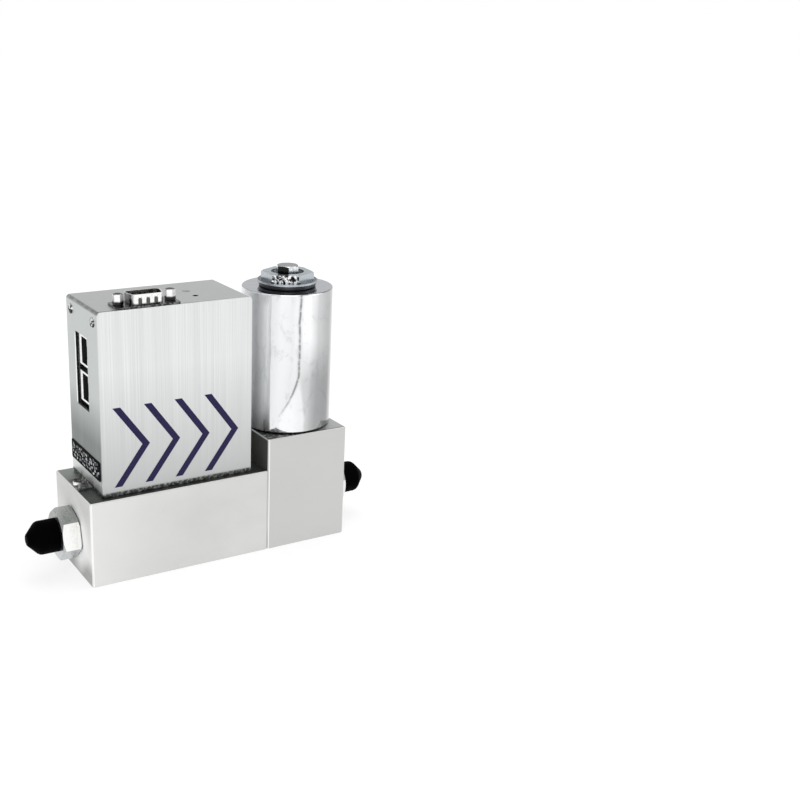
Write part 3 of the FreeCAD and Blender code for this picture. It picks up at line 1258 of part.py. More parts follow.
def top_screw():
    seat = V(VALVE_X, 0, TUBE_TOP + TOP_WASHER_THICKNESS)
    head = chamfered_hexagon(TOP_SCREW_FLATS, TOP_SCREW_HEAD_HEIGHT, TOP_SCREW_CHAMFER, seat, Z_AXIS,
                             TOP_SCREW_TURN)
    shank_base = seat - V(0, 0, TOP_SCREW_LENGTH)
    shank = rod(TOP_SCREW_R - THREAD_GAP, TOP_SCREW_LENGTH, shank_base, Z_AXIS)
    return head.fuse(shank).removeSplitter()


PIECES = {
    "flow_block": flow_block(),
    "valve_block": valve_block(),
    "block_joint_seal": block_joint_seal(),
    "block_joint_screws": block_joint_screws(),
    "inlet_fitting": fitting(LEFT_X, X_AXIS * -1),
    "outlet_fitting": fitting(RIGHT_X, X_AXIS),
    "inlet_fitting_seal": fitting_seal(LEFT_X, X_AXIS * -1),
    "outlet_fitting_seal": fitting_seal(RIGHT_X, X_AXIS),
    "inlet_cap": end_cap(LEFT_X, X_AXIS * -1, INLET_CAP_LIFT),
    "outlet_cap": end_cap(RIGHT_X, X_AXIS, OUTLET_CAP_LIFT),
    "inlet_screen": inlet_screen(),
    "laminar_element": laminar_element(),
    "sensor_gasket": sensor_gasket(),
    "sensor_board": sensor_board(),
    "flow_sensor_chip": flow_sensor_chip(),
    "sensor_board_screws": sensor_board_screws(),
    "folded_cover": folded_cover(),
    "front_panel": face_panel(HOUSING_FRONT, 1),
    "rear_panel": face_panel(HOUSING_REAR, -1),
    "side_screws": side_screws(),
    "foot_screws": foot_screws(),
    "side_label": side_label(),
    "lower_jack_shield": jack_shield(jack_centres()[0]),
    "upper_jack_shield": jack_shield(jack_centres()[1]),
    "lower_jack_insert": jack_insert(jack_centres()[0]),
    "upper_jack_insert": jack_insert(jack_centres()[1]),
    "jack_contacts": jack_contacts(),
    "main_board": main_board(),
    "main_board_chips": main_board_chips(),
    "board_standoffs": board_standoffs(),
    "board_screws": board_screws(),
    "upper_board": upper_board(),
    "board_headers": board_headers(),
    "dsub_shell": dsub_shell(),
    "dsub_insulator": dsub_insulator(),
    "dsub_pins": dsub_pins(),
    "dsub_jackscrews": dsub_jackscrews(),
    "status_lamp": status_lamp(),
    "status_light_pipe": status_light_pipe(),
    "zero_switch": zero_switch(),
    "zero_button": zero_button(),
    "core_tube": core_tube(),
    "core_tube_seal": core_tube_seal(),
    "fixed_core": fixed_core(),
    "plunger": plunger(),
    "plunger_seat_pad": plunger_seat_pad(),
    "plunger_spring": plunger_spring(),
    "valve_orifice": valve_orifice(),
    "valve_orifice_seal": valve_orifice_seal(),
    "coil_seat_ring": coil_seat_ring(),
    "coil_case": coil_case(),
    "coil_base_plate": coil_base_plate(),
    "coil_bobbin": coil_bobbin(),
    "coil_winding": coil_winding(),
    "coil_top_ring": coil_top_ring(),
    "coil_washer": coil_washer(),
    "coil_nut": coil_nut(),
    "top_screw_washer": top_screw_washer(),
    "top_screw": top_screw(),
}

os.makedirs("parts", exist_ok=True)
for name, shape in PIECES.items():
    shape.exportStep("parts/" + name + ".step")
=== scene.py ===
"""Looks of a gas mass flow controller: steel blocks, brushed housing, chromed coil and connectors."""

import math

import bmesh
import bpy
from mathutils import Matrix, Vector

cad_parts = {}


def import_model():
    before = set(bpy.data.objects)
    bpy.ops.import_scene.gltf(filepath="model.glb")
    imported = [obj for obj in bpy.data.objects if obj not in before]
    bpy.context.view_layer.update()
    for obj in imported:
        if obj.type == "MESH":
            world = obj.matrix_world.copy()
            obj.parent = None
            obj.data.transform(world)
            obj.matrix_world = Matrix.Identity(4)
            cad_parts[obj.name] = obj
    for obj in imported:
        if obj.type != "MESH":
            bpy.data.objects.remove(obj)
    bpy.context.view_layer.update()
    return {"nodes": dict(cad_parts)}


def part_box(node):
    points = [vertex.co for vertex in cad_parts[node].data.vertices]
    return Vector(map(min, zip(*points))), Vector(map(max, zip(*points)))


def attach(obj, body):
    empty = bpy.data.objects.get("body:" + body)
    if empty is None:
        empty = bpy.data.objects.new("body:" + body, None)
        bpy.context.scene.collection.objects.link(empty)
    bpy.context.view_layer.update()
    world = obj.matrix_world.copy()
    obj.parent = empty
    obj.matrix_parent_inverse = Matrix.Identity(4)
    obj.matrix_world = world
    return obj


MM = 0.001
MICRON = 0.000001

WHITE = (1.0, 1.0, 1.0, 1.0)
BLACK = (0.0, 0.0, 0.0, 1.0)
MIDDLE_GREY = (0.5, 0.5, 0.5, 1.0)

# Camera of the photograph, in metres in the row frame
CAMERA_PLACE = (-0.2310, -0.4940, 0.2565)
CAMERA_RIGHT = (0.8644, -0.5022, 0.0239)
CAMERA_UP = (0.1387, 0.2839, 0.9488)
CAMERA_LENS = 53.045
SENSOR_WIDTH = 36.0
SHIFT_X = 0.11
SHIFT_Y = 0.0

# Arrowheads printed on the front panel
ARROW_COUNT = 4
ARROW_PITCH = 15.1 * MM
ARROW_STROKE = 3.7 * MM
ARROW_REACH = 17.7 * MM
ARROW_LEFT = -54.1 * MM
ARROW_LOW = 46.5 * MM
ARROW_HIGH = 84.7 * MM
PRINT_THICKNESS = 0.04 * MM

# Places on the object
VALVE_X = 45.5 * MM
PORT_HEIGHT = 19.6 * MM
FLOW_BLOCK_LEFT = -67.5 * MM
VALVE_BLOCK_LEFT = 23.5 * MM
PANEL_SEAM_Y = -18.8 * MM
ZERO_HOLE = (-7.3 * MM, -7.6 * MM)
LIGHT_PIPE = (-7.5 * MM, 2.5 * MM)
FOOT_TOP = 43.0 * MM
WINDOW_REAR_Y = 8.7 * MM
WINDOW_HIGHLIGHT_Y = WINDOW_REAR_Y + 0.5 * MM
WINDOW_LOW = 79.6 * MM
WINDOW_HIGH = 114.5 * MM

# Nine-way connector on the top
CONNECTOR_X = -34.8 * MM
FLANGE_TOP = 130.1 * MM
DIMPLE_PITCH = 3.8 * MM
DIMPLE_HALF_WIDTH = 1.0 * MM
DIMPLE_TOP = 133.4 * MM
DIMPLE_BLUR = (DIMPLE_HALF_WIDTH * 0.75, DIMPLE_HALF_WIDTH * 1.1)
DIMPLE_ROW = (DIMPLE_PITCH * 1.45, DIMPLE_PITCH * 1.5)
FLANGE_SHADE_Z = (FLANGE_TOP + 0.2 * MM, FLANGE_TOP + 1.0 * MM)
POST_FOOT_SHADE_Z = (FLANGE_TOP + 1.4 * MM, FLANGE_TOP + 2.1 * MM)

# Where a tone fades on the blocks, from and to
PAINTED_LIGHT_LEFT_X = (-70.0 * MM, -24.0 * MM)
VALVE_DIM_X = (VALVE_BLOCK_LEFT - 0.2 * MM, VALVE_BLOCK_LEFT)
END_PAINTED_LIGHT_Z = (12.0 * MM, 36.0 * MM)
PORT_PAINTED_LIGHT_R = (13.0 * MM, 21.0 * MM)
PORT_PAINTED_LIGHT_Y = (-8.0 * MM, 4.0 * MM)
UNDER_PORT_SHADE_Z = (6.0 * MM, 14.0 * MM)
STEP_FACE_X = (0.0, 20.0 * MM)
TOP_REAR_Y = (-10.0 * MM, 18.0 * MM)
BEFORE_COIL_X = (VALVE_BLOCK_LEFT, VALVE_BLOCK_LEFT + 1.0 * MM)
PAST_COIL_X = (48.0 * MM, 58.0 * MM)
TOP_FRONT_SHADOW_Y = (-22.8 * MM, -22.1 * MM)
EDGE_HIGHLIGHT = 0.9 * MM
EDGE_HIGHLIGHT_BLUR = (EDGE_HIGHLIGHT * 0.4, EDGE_HIGHLIGHT * 0.7)
HEXAGON_END_Z = (14.0 * MM, 22.0 * MM)
HEXAGON_SEAT_SHADOW_X = (0.3 * MM - FLOW_BLOCK_LEFT, 0.7 * MM - FLOW_BLOCK_LEFT)

# Where a tone fades on the housing, from and to
PANEL_LOW_SHADE_Z = (46.0 * MM, 102.0 * MM)
WALL_LOW_SHADE_Z = (66.0 * MM, 88.0 * MM)
WALL_FOOT_HIGHLIGHT_Z = (49.0 * MM, 51.0 * MM)
FOOT_SHADE_Z = (FOOT_TOP + 0.8 * MM, FOOT_TOP + 1.6 * MM)
SEAM_BLUR = (0.3 * MM, 0.6 * MM)
SEAM_SHADOW_X = (-50.0 * MM, 0.0)
ZERO_HOLE_R = (1.3 * MM, 1.5 * MM)
PIPE_RING_R = (1.7 * MM, 2.2 * MM)
WINDOW_EDGE_SHADE_BLUR = (0.3 * MM, 0.5 * MM)
WINDOW_HIGHLIGHT_BLUR = (0.6 * MM, 0.9 * MM)

# Directions that faces look in, and the cosines between which a face counts as square on
LEFTWARD = (-1, 0, 0)
FORWARD = (0, -1, 0)
LEFT_AND_UP = (-0.707, 0, 0.707)
FRONT_FACET = (-0.49, -0.87, 0.0)
LEFT_FACET = (-0.86, -0.51, 0.0)
SQUARE_ON = (0.6, 0.95)

# Noise repeats per metre, one number or one for each axis
BLAST_GRAIN = 2600
BLOCK_CLOUDING = (30, 30, 45)
TOP_WEAR = 300
TOP_SPECKLE = 700
BRUSHED_UP = (1500, 1500, 9)
BRUSHED_UP_WIDE = (230, 230, 2.5)
BRUSHED_ALONG = (9, 1500, 1500)
BEND_PATCHES = 300
FOOT_SCUFFS = 600
COIL_WAVE = (60, 60, 34)
COIL_WANDER = (8, 8, 75)
COIL_MOTTLE = (130, 130, 70)
CREASE_BREAKS = (60, 60, 420)
STEEL_BLOTCHES = 420
MILL_LINES = (900, 300, 300)
SMALL_NICKS = 900
NUT_SPECKLE = (820, 820, 620)
NUT_HAZE = 250
SCREW_SPECKLE = 700
SMALL_SCREW_SPECKLE = 650
PLATING_WEAR = 700
DUST_CLOUDS = 90
CLEAR_CLOUDS = 600
INK_CLOUDS = 900
FADED_PATCHES = 420

# Radians per metre across lathe rings and across turns of wire
LATHE_RINGS = 14000.0
WIRE_TURNS = 12000.0

# Painted reflections in streaks up the chromed coil: turns round it from its left edge, then the grey above
# and the grey below
COIL_REFLECTION_START = math.radians(149.8)
COIL_PAINTED_REFLECTIONS = (
    (0.000, 250, 250),
    (0.185, 250, 250),
    (0.192, 226, 230),
    (0.230, 238, 236),
    (0.270, 230, 226),
    (0.286, 240, 228),
    (0.292, 230, 222),
    (0.302, 236, 218),
    (0.312, 252, 212),
    (0.335, 252, 204),
    (0.350, 234, 182),
    (0.372, 198, 160),
    (0.440, 176, 148),
    (0.455, 184, 172),
    (0.520, 214, 208),
    (0.610, 246, 240),
    (0.660, 188, 182),
    (0.700, 244, 240),
    (0.820, 214, 208),
    (0.832, 246, 242),
    (0.960, 226, 218),
)
COIL_REFLECTION_TINT = (0.985, 0.995, 1.0)
COIL_REFLECTION_LEAN = 0.18
COIL_REFLECTION_Z = (94.0 * MM, 118.0 * MM)
COIL_WANDER_TURN = 0.014
COIL_MIDDLE = 92.0 * MM

# Crease in the coil's reflection: its turn round the coil, and how it swings and fades near the foot
CREASE_TURN = 0.297
CREASE_SWING = 0.067
CREASE_BEND = 1.7
CREASE_LOW = 66.0 * MM
CREASE_HIGH = 89.0 * MM
CREASE_BLUR = (0.0008, 0.0060)
WEDGE_SPREAD = 0.026

# Tones that parts of a surface take
COIL_TOP_SHADE_TONE = (0.43, 0.45, 0.48, 1.0)
LEFT_WALL_SHADE_TONE = (0.49, 0.52, 0.505, 1.0)
LEFT_WALL_LOW_SHADE_TONE = (0.10, 0.115, 0.11, 1.0)
LEFT_WALL_FOOT_HIGHLIGHT_TONE = (0.78, 0.79, 0.78, 1.0)
STEP_FACE_SHADE_TONE = (0.15, 0.15, 0.14, 1.0)
VALVE_TOP_LIGHT_TONE = (0.62, 0.63, 0.62, 1.0)
FOOT_SHADE_TONE = (0.13, 0.135, 0.13, 1.0)
BEND_SHADE_TONE = (0.24, 0.25, 0.245, 1.0)
# Dark for painted shade and shadow lines, and for dark specks.
SHADE_AND_SPECKLE_DARK = (0.035, 0.036, 0.035, 1.0)
HOLE_SHADE_BLACK = (0.004, 0.004, 0.004, 1.0)

# Pale marks on the side label
MARK_COLUMNS = 22
MARK_ROWS = 4
MARK_HEIGHT = 1.1 * MM
MARK_WIDTH = 0.8 * MM
MARK_MARGIN_Y = 2.4 * MM
MARK_MARGIN_Z = 1.3 * MM
MARK_SHIFT_Y = 0.9 * MM
MARK_SHIFT_Z = 0.5 * MM
MARK_SEED = 7

# Soft lights: name, place, width and height in metres, power in watts
LIT_PLACE = (0, 0, 70.0 * MM)
SOFT_LIGHTS = (
    ("front_softbox", (-0.45, -1.1, 0.75), (0.9, 0.9), 5),
    ("right_softbox", (1.0, -0.5, 0.6), (0.6, 1.0), 3.5),
    ("top_softbox", (0.1, 0.25, 1.3), (0.8, 0.8), 4),
)

# Room from its nadir to its zenith
ROOM_STOPS = (
    (0.0, (0.95, 0.95, 0.95, 1)),
    (0.50, WHITE),
    (0.60, (0.95, 0.95, 0.95, 1)),
    (0.68, (0.80, 0.81, 0.82, 1)),
    (0.77, (0.35, 0.36, 0.37, 1)),
    (0.90, (0.95, 0.95, 0.95, 1)),
)
ROOM_STRENGTH = 0.85
FLOOR_RADIUS = 6.0
FLOOR_SIDES = 96
FLOOR_FADE_R = (80.0 * MM, 300.0 * MM)
FLOOR_GLOW_NEAR = 0.72


def linear(value):
    """Linear light of one sRGB channel given from 0 to 255."""
    share = value / 255
    return share / 12.92 if share <= 0.04045 else ((share + 0.055) / 1.055) ** 2.4


def tone(red, green, blue):
    return (linear(red), linear(green), linear(blue), 1.0)


# Grey of a painted reflection on the coil, slightly tinted.
def reflection_tone(grey):
    return tuple(linear(grey) * share for share in COIL_REFLECTION_TINT) + (1.0,)


def new_finish(name, colour, metallic, roughness):
    """A material with one Principled shader."""
    material = bpy.data.materials.new(name)
    material.use_nodes = True
    shader = material.node_tree.nodes["Principled BSDF"]
    shader.inputs["Base Color"].default_value = colour
    shader.inputs["Metallic"].default_value = metallic
    shader.inputs["Roughness"].default_value = roughness
    return material, material.node_tree, shader


def add(tree, kind, **values):
    """A node with its inputs set by their names, with spaces written as underscores."""
    node = tree.nodes.new(kind)
    for name, value in values.items():
        node.inputs[name.replace("_", " ")].default_value = value
    return node


def math_node(tree, operation, first, second=0.0, third=0.0):
    """The result socket of a maths node. Each argument is a number or a socket."""
    node = tree.nodes.new("ShaderNodeMath")
    node.operation = operation
    for socket, value in zip(node.inputs, (first, second, third)):
        if isinstance(value, (int, float)):
            socket.default_value = value
        else:
            tree.links.new(value, socket)
    return node.outputs[0]


def output_of(node, identifier):
    """The output of a node that has one socket of the same name for each data type."""
    return next(out for out in node.outputs if out.identifier == identifier)


def object_place(tree):
    return tree.nodes.new("ShaderNodeTexCoord").outputs["Object"]


def stretched(tree, scale):
    """Object coordinates multiplied by a scale for each axis."""
    mapping = add(tree, "ShaderNodeMapping", Scale=scale)
    tree.links.new(object_place(tree), mapping.inputs["Vector"])
    return mapping.outputs["Vector"]


def noise(tree, vector, detail=3.0, roughness=0.5, distortion=0.0):
    """Value from 0 to 1 of a noise that repeats about once per unit of its vector."""
    values = {"Scale": 1.0, "Detail": detail, "Roughness": roughness, "Distortion": distortion}
    node = add(tree, "ShaderNodeTexNoise", **values)
    tree.links.new(vector, node.inputs["Vector"])
    return node.outputs["Fac"]


def ramp(tree, value, stops):
    """Colour by value. The stops are (position, colour)."""
    node = tree.nodes.new("ShaderNodeValToRGB")
    elements = node.color_ramp.elements
    while len(elements) < len(stops):
        elements.new(0.5)
    for element, (position, colour) in zip(elements, stops):
        element.position = position
        element.color = colour
    tree.links.new(value, node.inputs["Fac"])
    return node.outputs["Color"]


def spread(tree, value, low, high, from_low=0.3, from_high=0.7):
    """Value carried from one range to another, held at its ends."""
    values = {"From_Min": from_low, "From_Max": from_high, "To_Min": low, "To_Max": high}
    node = add(tree, "ShaderNodeMapRange", **values)
    tree.links.new(value, node.inputs["Value"])
    return node.outputs["Result"]


def blended(tree, share, first, second, mode="MIX"):
    """Colour between two colours or sockets."""
    node = tree.nodes.new("ShaderNodeMix")
    node.data_type = "RGBA"
    node.blend_type = mode
    sockets = {"Factor_Float": share, "A_Color": first, "B_Color": second}
    for socket in node.inputs:
        value = sockets.get(socket.identifier)
        if value is None:
            continue
        if isinstance(value, (int, float, tuple)):
            socket.default_value = value
        else:
            tree.links.new(value, socket)
    return output_of(node, "Result_Color")


def bumped(tree, shader, height, strength, depth):
    node = add(tree, "ShaderNodeBump", Strength=strength, Distance=depth)
    tree.links.new(height, node.inputs["Height"])
    tree.links.new(node.outputs["Normal"], shader.inputs["Normal"])


def facing_up(tree):
    """1 on faces that look up and 0 on walls."""
    return toward(tree, (0, 0, 1), 0.7, 0.95)


def toward(tree, axis, low, high):
    """0 to 1 as the face's normal turns along an axis, from one cosine to another."""
    geometry = tree.nodes.new("ShaderNodeNewGeometry")
    along = tree.nodes.new("ShaderNodeVectorMath")
    along.operation = "DOT_PRODUCT"
    along.inputs[1].default_value = axis
    tree.links.new(geometry.outputs["Normal"], along.inputs[0])
    return spread(tree, along.outputs["Value"], 0.0, 1.0, low, high)


def place_along(tree, axis):
    """Object coordinate along one axis, in metres."""
    parts = tree.nodes.new("ShaderNodeSeparateXYZ")
    tree.links.new(object_place(tree), parts.inputs[0])
    return parts.outputs[axis]


def height_above(tree):
    return place_along(tree, "Z")


def hypotenuse(tree, first, second):
    squares = [math_node(tree, "MULTIPLY", side, side) for side in (first, second)]
    return math_node(tree, "SQRT", math_node(tree, "ADD", *squares))


def distance_from(tree, place):
    """Level distance from a point (x, y)."""
    sides = [math_node(tree, "SUBTRACT", place_along(tree, axis), at) for axis, at in zip("XY", place)]
    return hypotenuse(tree, *sides)


def scaled(colour, factor):
    return tuple(min(1.0, c * factor) for c in colour[:3]) + (1.0,)


def product(tree, *masks):
    """Masks multiplied together. Each one is a number or a socket."""
    result = masks[0]
    for mask in masks[1:]:
        result = math_node(tree, "MULTIPLY", result, mask)
    return result


def apart(tree, value, place):
    """Distance of a coordinate from a place."""
    return math_node(tree, "ABSOLUTE", math_node(tree, "SUBTRACT", value, place))


def fade(tree, value, span, start=1.0, end=0.0):
    """Start to end while a value goes through a span, and held outside it."""
    return spread(tree, value, start, end, *span)


def grain(tree, repeats, detail=3.0, roughness=0.5, distortion=0.0):
    """Noise on object coordinates. The repeats are per metre, one number or one for each axis."""
    if isinstance(repeats, int):
        repeats = (repeats,) * 3
    return noise(tree, stretched(tree, repeats), detail, roughness, distortion)


def radius_from(tree, axis_x):
    """Distance from the upright axis at axis_x, or from the flow line if it is None."""
    if axis_x is None:
        first = place_along(tree, "Y")
        second = math_node(tree, "SUBTRACT", place_along(tree, "Z"), PORT_HEIGHT)
    else:
        first = math_node(tree, "SUBTRACT", place_along(tree, "X"), axis_x)
        second = place_along(tree, "Y")
    return hypotenuse(tree, first, second)


def lathe_rings(tree, axis_x):
    """Fine rings about the upright axis at axis_x, or about the flow line if it is None."""
    return math_node(tree, "SINE", math_node(tree, "MULTIPLY", radius_from(tree, axis_x), LATHE_RINGS))


def top_painted_shade(tree, top):
    """Colour of the blocks' tops, darkened as painted shade: worn, lighter towards the rear, speckled before
    the coil, light past it, and with a painted shadow along the front rim.
    """
    x = place_along(tree, "X")
    y = place_along(tree, "Y")
    worn = grain(tree, TOP_WEAR, 4.0, 0.7)
    shade = ramp(tree, worn, ((0.32, scaled(top, 0.62)), (0.68, scaled(top, 1.25))))
    # Painted shade on the tops, fading out towards the rear.
    shade = blended(tree, fade(tree, y, TOP_REAR_Y, 0.0, 0.8), shade, scaled(top, 2.4))
    speckle = ramp(tree, grain(tree, TOP_SPECKLE, 3.0, 0.7), ((0.54, SHADE_AND_SPECKLE_DARK), (0.66, MIDDLE_GREY)))
    shade = blended(tree, fade(tree, x, BEFORE_COIL_X, 0.0, 0.95), shade, speckle)
    shade = blended(tree, fade(tree, x, PAST_COIL_X, 0.0, 1.0), shade, VALVE_TOP_LIGHT_TONE)
    # Painted shadow: a dark strip along the front rim of the tops.
    return blended(tree, fade(tree, y, TOP_FRONT_SHADOW_Y, 0.85), shade, SHADE_AND_SPECKLE_DARK)


def block_end_shade(tree, wall):
    """Colour of the inlet end: painted light, stronger lower down and white beside the port, with painted
    shade at the bottom under the port.
    """
    height = height_above(tree)
    # Painted light over the end face, stronger lower down.
    shade = blended(tree, fade(tree, height, END_PAINTED_LIGHT_Z), scaled(wall, 1.14), scaled(wall, 1.45))
    # Painted shade at the bottom of the end, under the port.
    shade = blended(tree, fade(tree, height, UNDER_PORT_SHADE_Z, 0.95), shade, scaled(wall, 0.70))
    # Painted light: white beside the port, in front of it.
    beside_port = fade(tree, radius_from(tree, None), PORT_PAINTED_LIGHT_R)
    in_front = fade(tree, place_along(tree, "Y"), PORT_PAINTED_LIGHT_Y)
    return blended(tree, product(tree, beside_port, in_front), shade, WHITE)


def blasted_block_steel(name, wall, top):
    """Fine bead blasting on the walls, painted lighter towards the left end, with a top darkened as painted
    shade, painted highlights along the left edges and painted light and shade on the end faces.
    """
    material, tree, shader = new_finish(name, wall, 1.0, 0.42)
    x = place_along(tree, "X")
    fine = grain(tree, BLAST_GRAIN, 2.0)
    cloud = grain(tree, BLOCK_CLOUDING)
    shade = ramp(tree, cloud, ((0.30, scaled(wall, 0.95)), (0.70, scaled(wall, 1.04))))
    # Painted light: the walls grow lighter towards the left end.
    shade = blended(tree, fade(tree, x, PAINTED_LIGHT_LEFT_X, 0.78), shade, scaled(wall, 1.20))
    shade = blended(tree, fade(tree, x, VALVE_DIM_X, 0.0, 0.8), shade, scaled(wall, 0.86))
    # Painted highlight: a white strip along the left edge of each block.
    for edge in (FLOW_BLOCK_LEFT, VALVE_BLOCK_LEFT):
        from_rim = apart(tree, x, edge + EDGE_HIGHLIGHT / 2)
        shade = blended(tree, fade(tree, from_rim, EDGE_HIGHLIGHT_BLUR, 0.85), shade, WHITE)
    end_face = toward(tree, LEFTWARD, *SQUARE_ON)
    shade = blended(tree, product(tree, end_face, 0.9), shade, block_end_shade(tree, wall))
    # Painted shade: the left face of the valve block, in the gap beside the housing, is made dark.
    step_face = product(tree, end_face, fade(tree, x, STEP_FACE_X, 0.0, 1.0))
    shade = blended(tree, step_face, shade, STEP_FACE_SHADE_TONE)
    shade = blended(tree, facing_up(tree), shade, top_painted_shade(tree, top))
    tree.links.new(shade, shader.inputs["Base Color"])
    roughness = math_node(tree, "ADD", spread(tree, fine, 0.36, 0.50), product(tree, end_face, 0.4))
    tree.links.new(roughness, shader.inputs["Roughness"])
    bumped(tree, shader, fine, 0.12, 40 * MICRON)
    return material


def window_marks(tree, shade, left_wall):
    """Painted shade on the rear edge of the jack window, with a painted highlight line just outside it."""
    height = height_above(tree)
    y = place_along(tree, "Y")
    cut_edge_shade = fade(tree, apart(tree, y, WINDOW_REAR_Y), WINDOW_EDGE_SHADE_BLUR, 0.97)
    # Painted shade on the window's rear cut edge.
    shade = blended(tree, product(tree, cut_edge_shade, toward(tree, FORWARD, 0.6, 0.9)), shade, SHADE_AND_SPECKLE_DARK)
    # Painted highlight: a white line on the left wall just outside the window.
    outside = fade(tree, apart(tree, y, WINDOW_HIGHLIGHT_Y), WINDOW_HIGHLIGHT_BLUR, 0.97)
    above_low = fade(tree, height, (WINDOW_LOW, WINDOW_LOW + 1.0 * MM), 0.0, 1.0)
    below_high = fade(tree, height, (WINDOW_HIGH - 3.0 * MM, WINDOW_HIGH))
    return blended(tree, product(tree, outside, above_low, below_high, left_wall), shade, WHITE)


def cover_marks(tree, shade, top, level):
    """Panel seam with a painted shadow line, zero hole painted black as shade and a darker ring round the
    light pipe on the cover's top, then painted shade on its bends and feet.
    """
    # Painted shadow: a dark line along the panel seam on the top, darker to the left.
    seam = fade(tree, apart(tree, place_along(tree, "Y"), PANEL_SEAM_Y), SEAM_BLUR, 0.75)
    seam = product(tree, seam, level, fade(tree, place_along(tree, "X"), SEAM_SHADOW_X, 1.0, 0.25))
    shade = blended(tree, seam, shade, SHADE_AND_SPECKLE_DARK)
    # Painted shade: the zero hole is made black.
    shade = blended(tree, fade(tree, distance_from(tree, ZERO_HOLE), ZERO_HOLE_R), shade, HOLE_SHADE_BLACK)
    # A darker ring on the cover's top round the light pipe.
    shade = blended(tree, fade(tree, distance_from(tree, LIGHT_PIPE), PIPE_RING_R, 0.7), shade, scaled(top, 0.3))
    # Painted shade: dark patches on the bend from the left wall into the foot.
    patches = spread(tree, grain(tree, BEND_PATCHES, 3.0, 0.6), 0.45, 0.9, 0.4, 0.6)
    bend = product(tree, toward(tree, LEFT_AND_UP, 0.78, 0.96), patches)
    shade = blended(tree, bend, shade, BEND_SHADE_TONE)
    # Painted shade: the feet under the housing are dark, with scuffed specks.
    scuffs = grain(tree, FOOT_SCUFFS, 3.0, 0.7)
    stops = ((0.40, scaled(FOOT_SHADE_TONE, 0.35)), (0.52, FOOT_SHADE_TONE), (0.64, scaled(FOOT_SHADE_TONE, 3.2)))
    return blended(tree, fade(tree, height_above(tree), FOOT_SHADE_Z), shade, ramp(tree, scuffs, stops))


def grained_sheet_steel(name, wall, top):
    """Brushed sheet: the grain runs up the walls and along the top, with painted light and shade on the
    walls.
    """
    material, tree, shader = new_finish(name, wall, 1.0, 0.36)
    height = height_above(tree)
    level = facing_up(tree)
    up_grain = grain(tree, BRUSHED_UP, 4.0, 0.6)
    along = grain(tree, BRUSHED_ALONG, 4.0, 0.6)
    on_walls = product(tree, up_grain, math_node(tree, "SUBTRACT", 1.0, level))
    fine = math_node(tree, "ADD", on_walls, product(tree, along, level))
    wide = product(tree, grain(tree, BRUSHED_UP_WIDE), 0.4)
    mixed = math_node(tree, "ADD", product(tree, fine, 0.6), wide)
    shade = ramp(tree, mixed, ((0.36, scaled(wall, 0.89)), (0.62, scaled(wall, 1.08))))
    # Painted shade: the walls darken towards the bottom.
    shade = blended(tree, fade(tree, height, PANEL_LOW_SHADE_Z, 0.9), shade, scaled(wall, 0.64))
    left_wall = toward(tree, LEFTWARD, *SQUARE_ON)
    # Painted shade: the left wall is darker than the front.
    shade = blended(tree, product(tree, left_wall, 0.85), shade, LEFT_WALL_SHADE_TONE)
    # Painted shade: the left wall darkens strongly low down.
    low = product(tree, left_wall, fade(tree, height, WALL_LOW_SHADE_Z, 0.8))
    shade = blended(tree, low, shade, LEFT_WALL_LOW_SHADE_TONE)
    # Painted highlight: a light band along the bottom of the left wall, above the foot.
    lowest = product(tree, left_wall, fade(tree, height, WALL_FOOT_HIGHLIGHT_Z, 0.85))
    shade = blended(tree, lowest, shade, LEFT_WALL_FOOT_HIGHLIGHT_TONE)
    shade = window_marks(tree, shade, left_wall)
    shade = blended(tree, level, shade, top)
    shade = cover_marks(tree, shade, top, level)
    tree.links.new(shade, shader.inputs["Base Color"])
    tree.links.new(spread(tree, mixed, 0.30, 0.46), shader.inputs["Roughness"])
    bumped(tree, shader, fine, 0.10, 30 * MICRON)
    return material


def turn_about_valve(tree):
    """0 to 1 once round the valve axis, from the coil's left edge past its front to its right edge."""
    sideways = math_node(tree, "SUBTRACT", place_along(tree, "X"), VALVE_X)
    angle = math_node(tree, "ARCTAN2", place_along(tree, "Y"), sideways)
    turns = math_node(tree, "DIVIDE", math_node(tree, "SUBTRACT", angle, COIL_REFLECTION_START), 2 * math.pi)
    return math_node(tree, "FRACT", math_node(tree, "ADD", turns, 1.0))


def creased(tree, shade, turn, height):
    """Painted reflection: a broken dark line up the coil that swings left near the foot, with a painted
    highlight wedge beside it.
    """
    down = fade(tree, height, (CREASE_LOW, CREASE_HIGH))
    swing = product(tree, math_node(tree, "POWER", down, CREASE_BEND), CREASE_SWING)
    from_crease = math_node(tree, "SUBTRACT", math_node(tree, "ADD", turn, swing), CREASE_TURN)
    from_edge = math_node(tree, "SUBTRACT", turn, product(tree, down, WEDGE_SPREAD))
    from_edge = math_node(tree, "SUBTRACT", from_edge, CREASE_TURN)
    past_crease = spread(tree, from_crease, 0.0, 1.0, 0.0, 0.012)
    before_edge = spread(tree, from_edge, 1.0, 0.0, -0.002, 0.008)
    wedge = product(tree, past_crease, before_edge, spread(tree, down, 0.0, 0.75, 0.05, 0.40))
    # Painted highlight: a light wedge beside the crease.
    shade = blended(tree, wedge, shade, reflection_tone(246))
    # Painted reflection: the broken dark crease line.
    line = fade(tree, math_node(tree, "ABSOLUTE", from_crease), CREASE_BLUR, 0.9)
    broken = spread(tree, grain(tree, CREASE_BREAKS, 3.0, 0.6), 0.35, 1.0, 0.36, 0.54)
    line = product(tree, line, broken, spread(tree, down, 1.0, 0.0, 0.45, 1.0))
    return blended(tree, line, shade, reflection_tone(128))


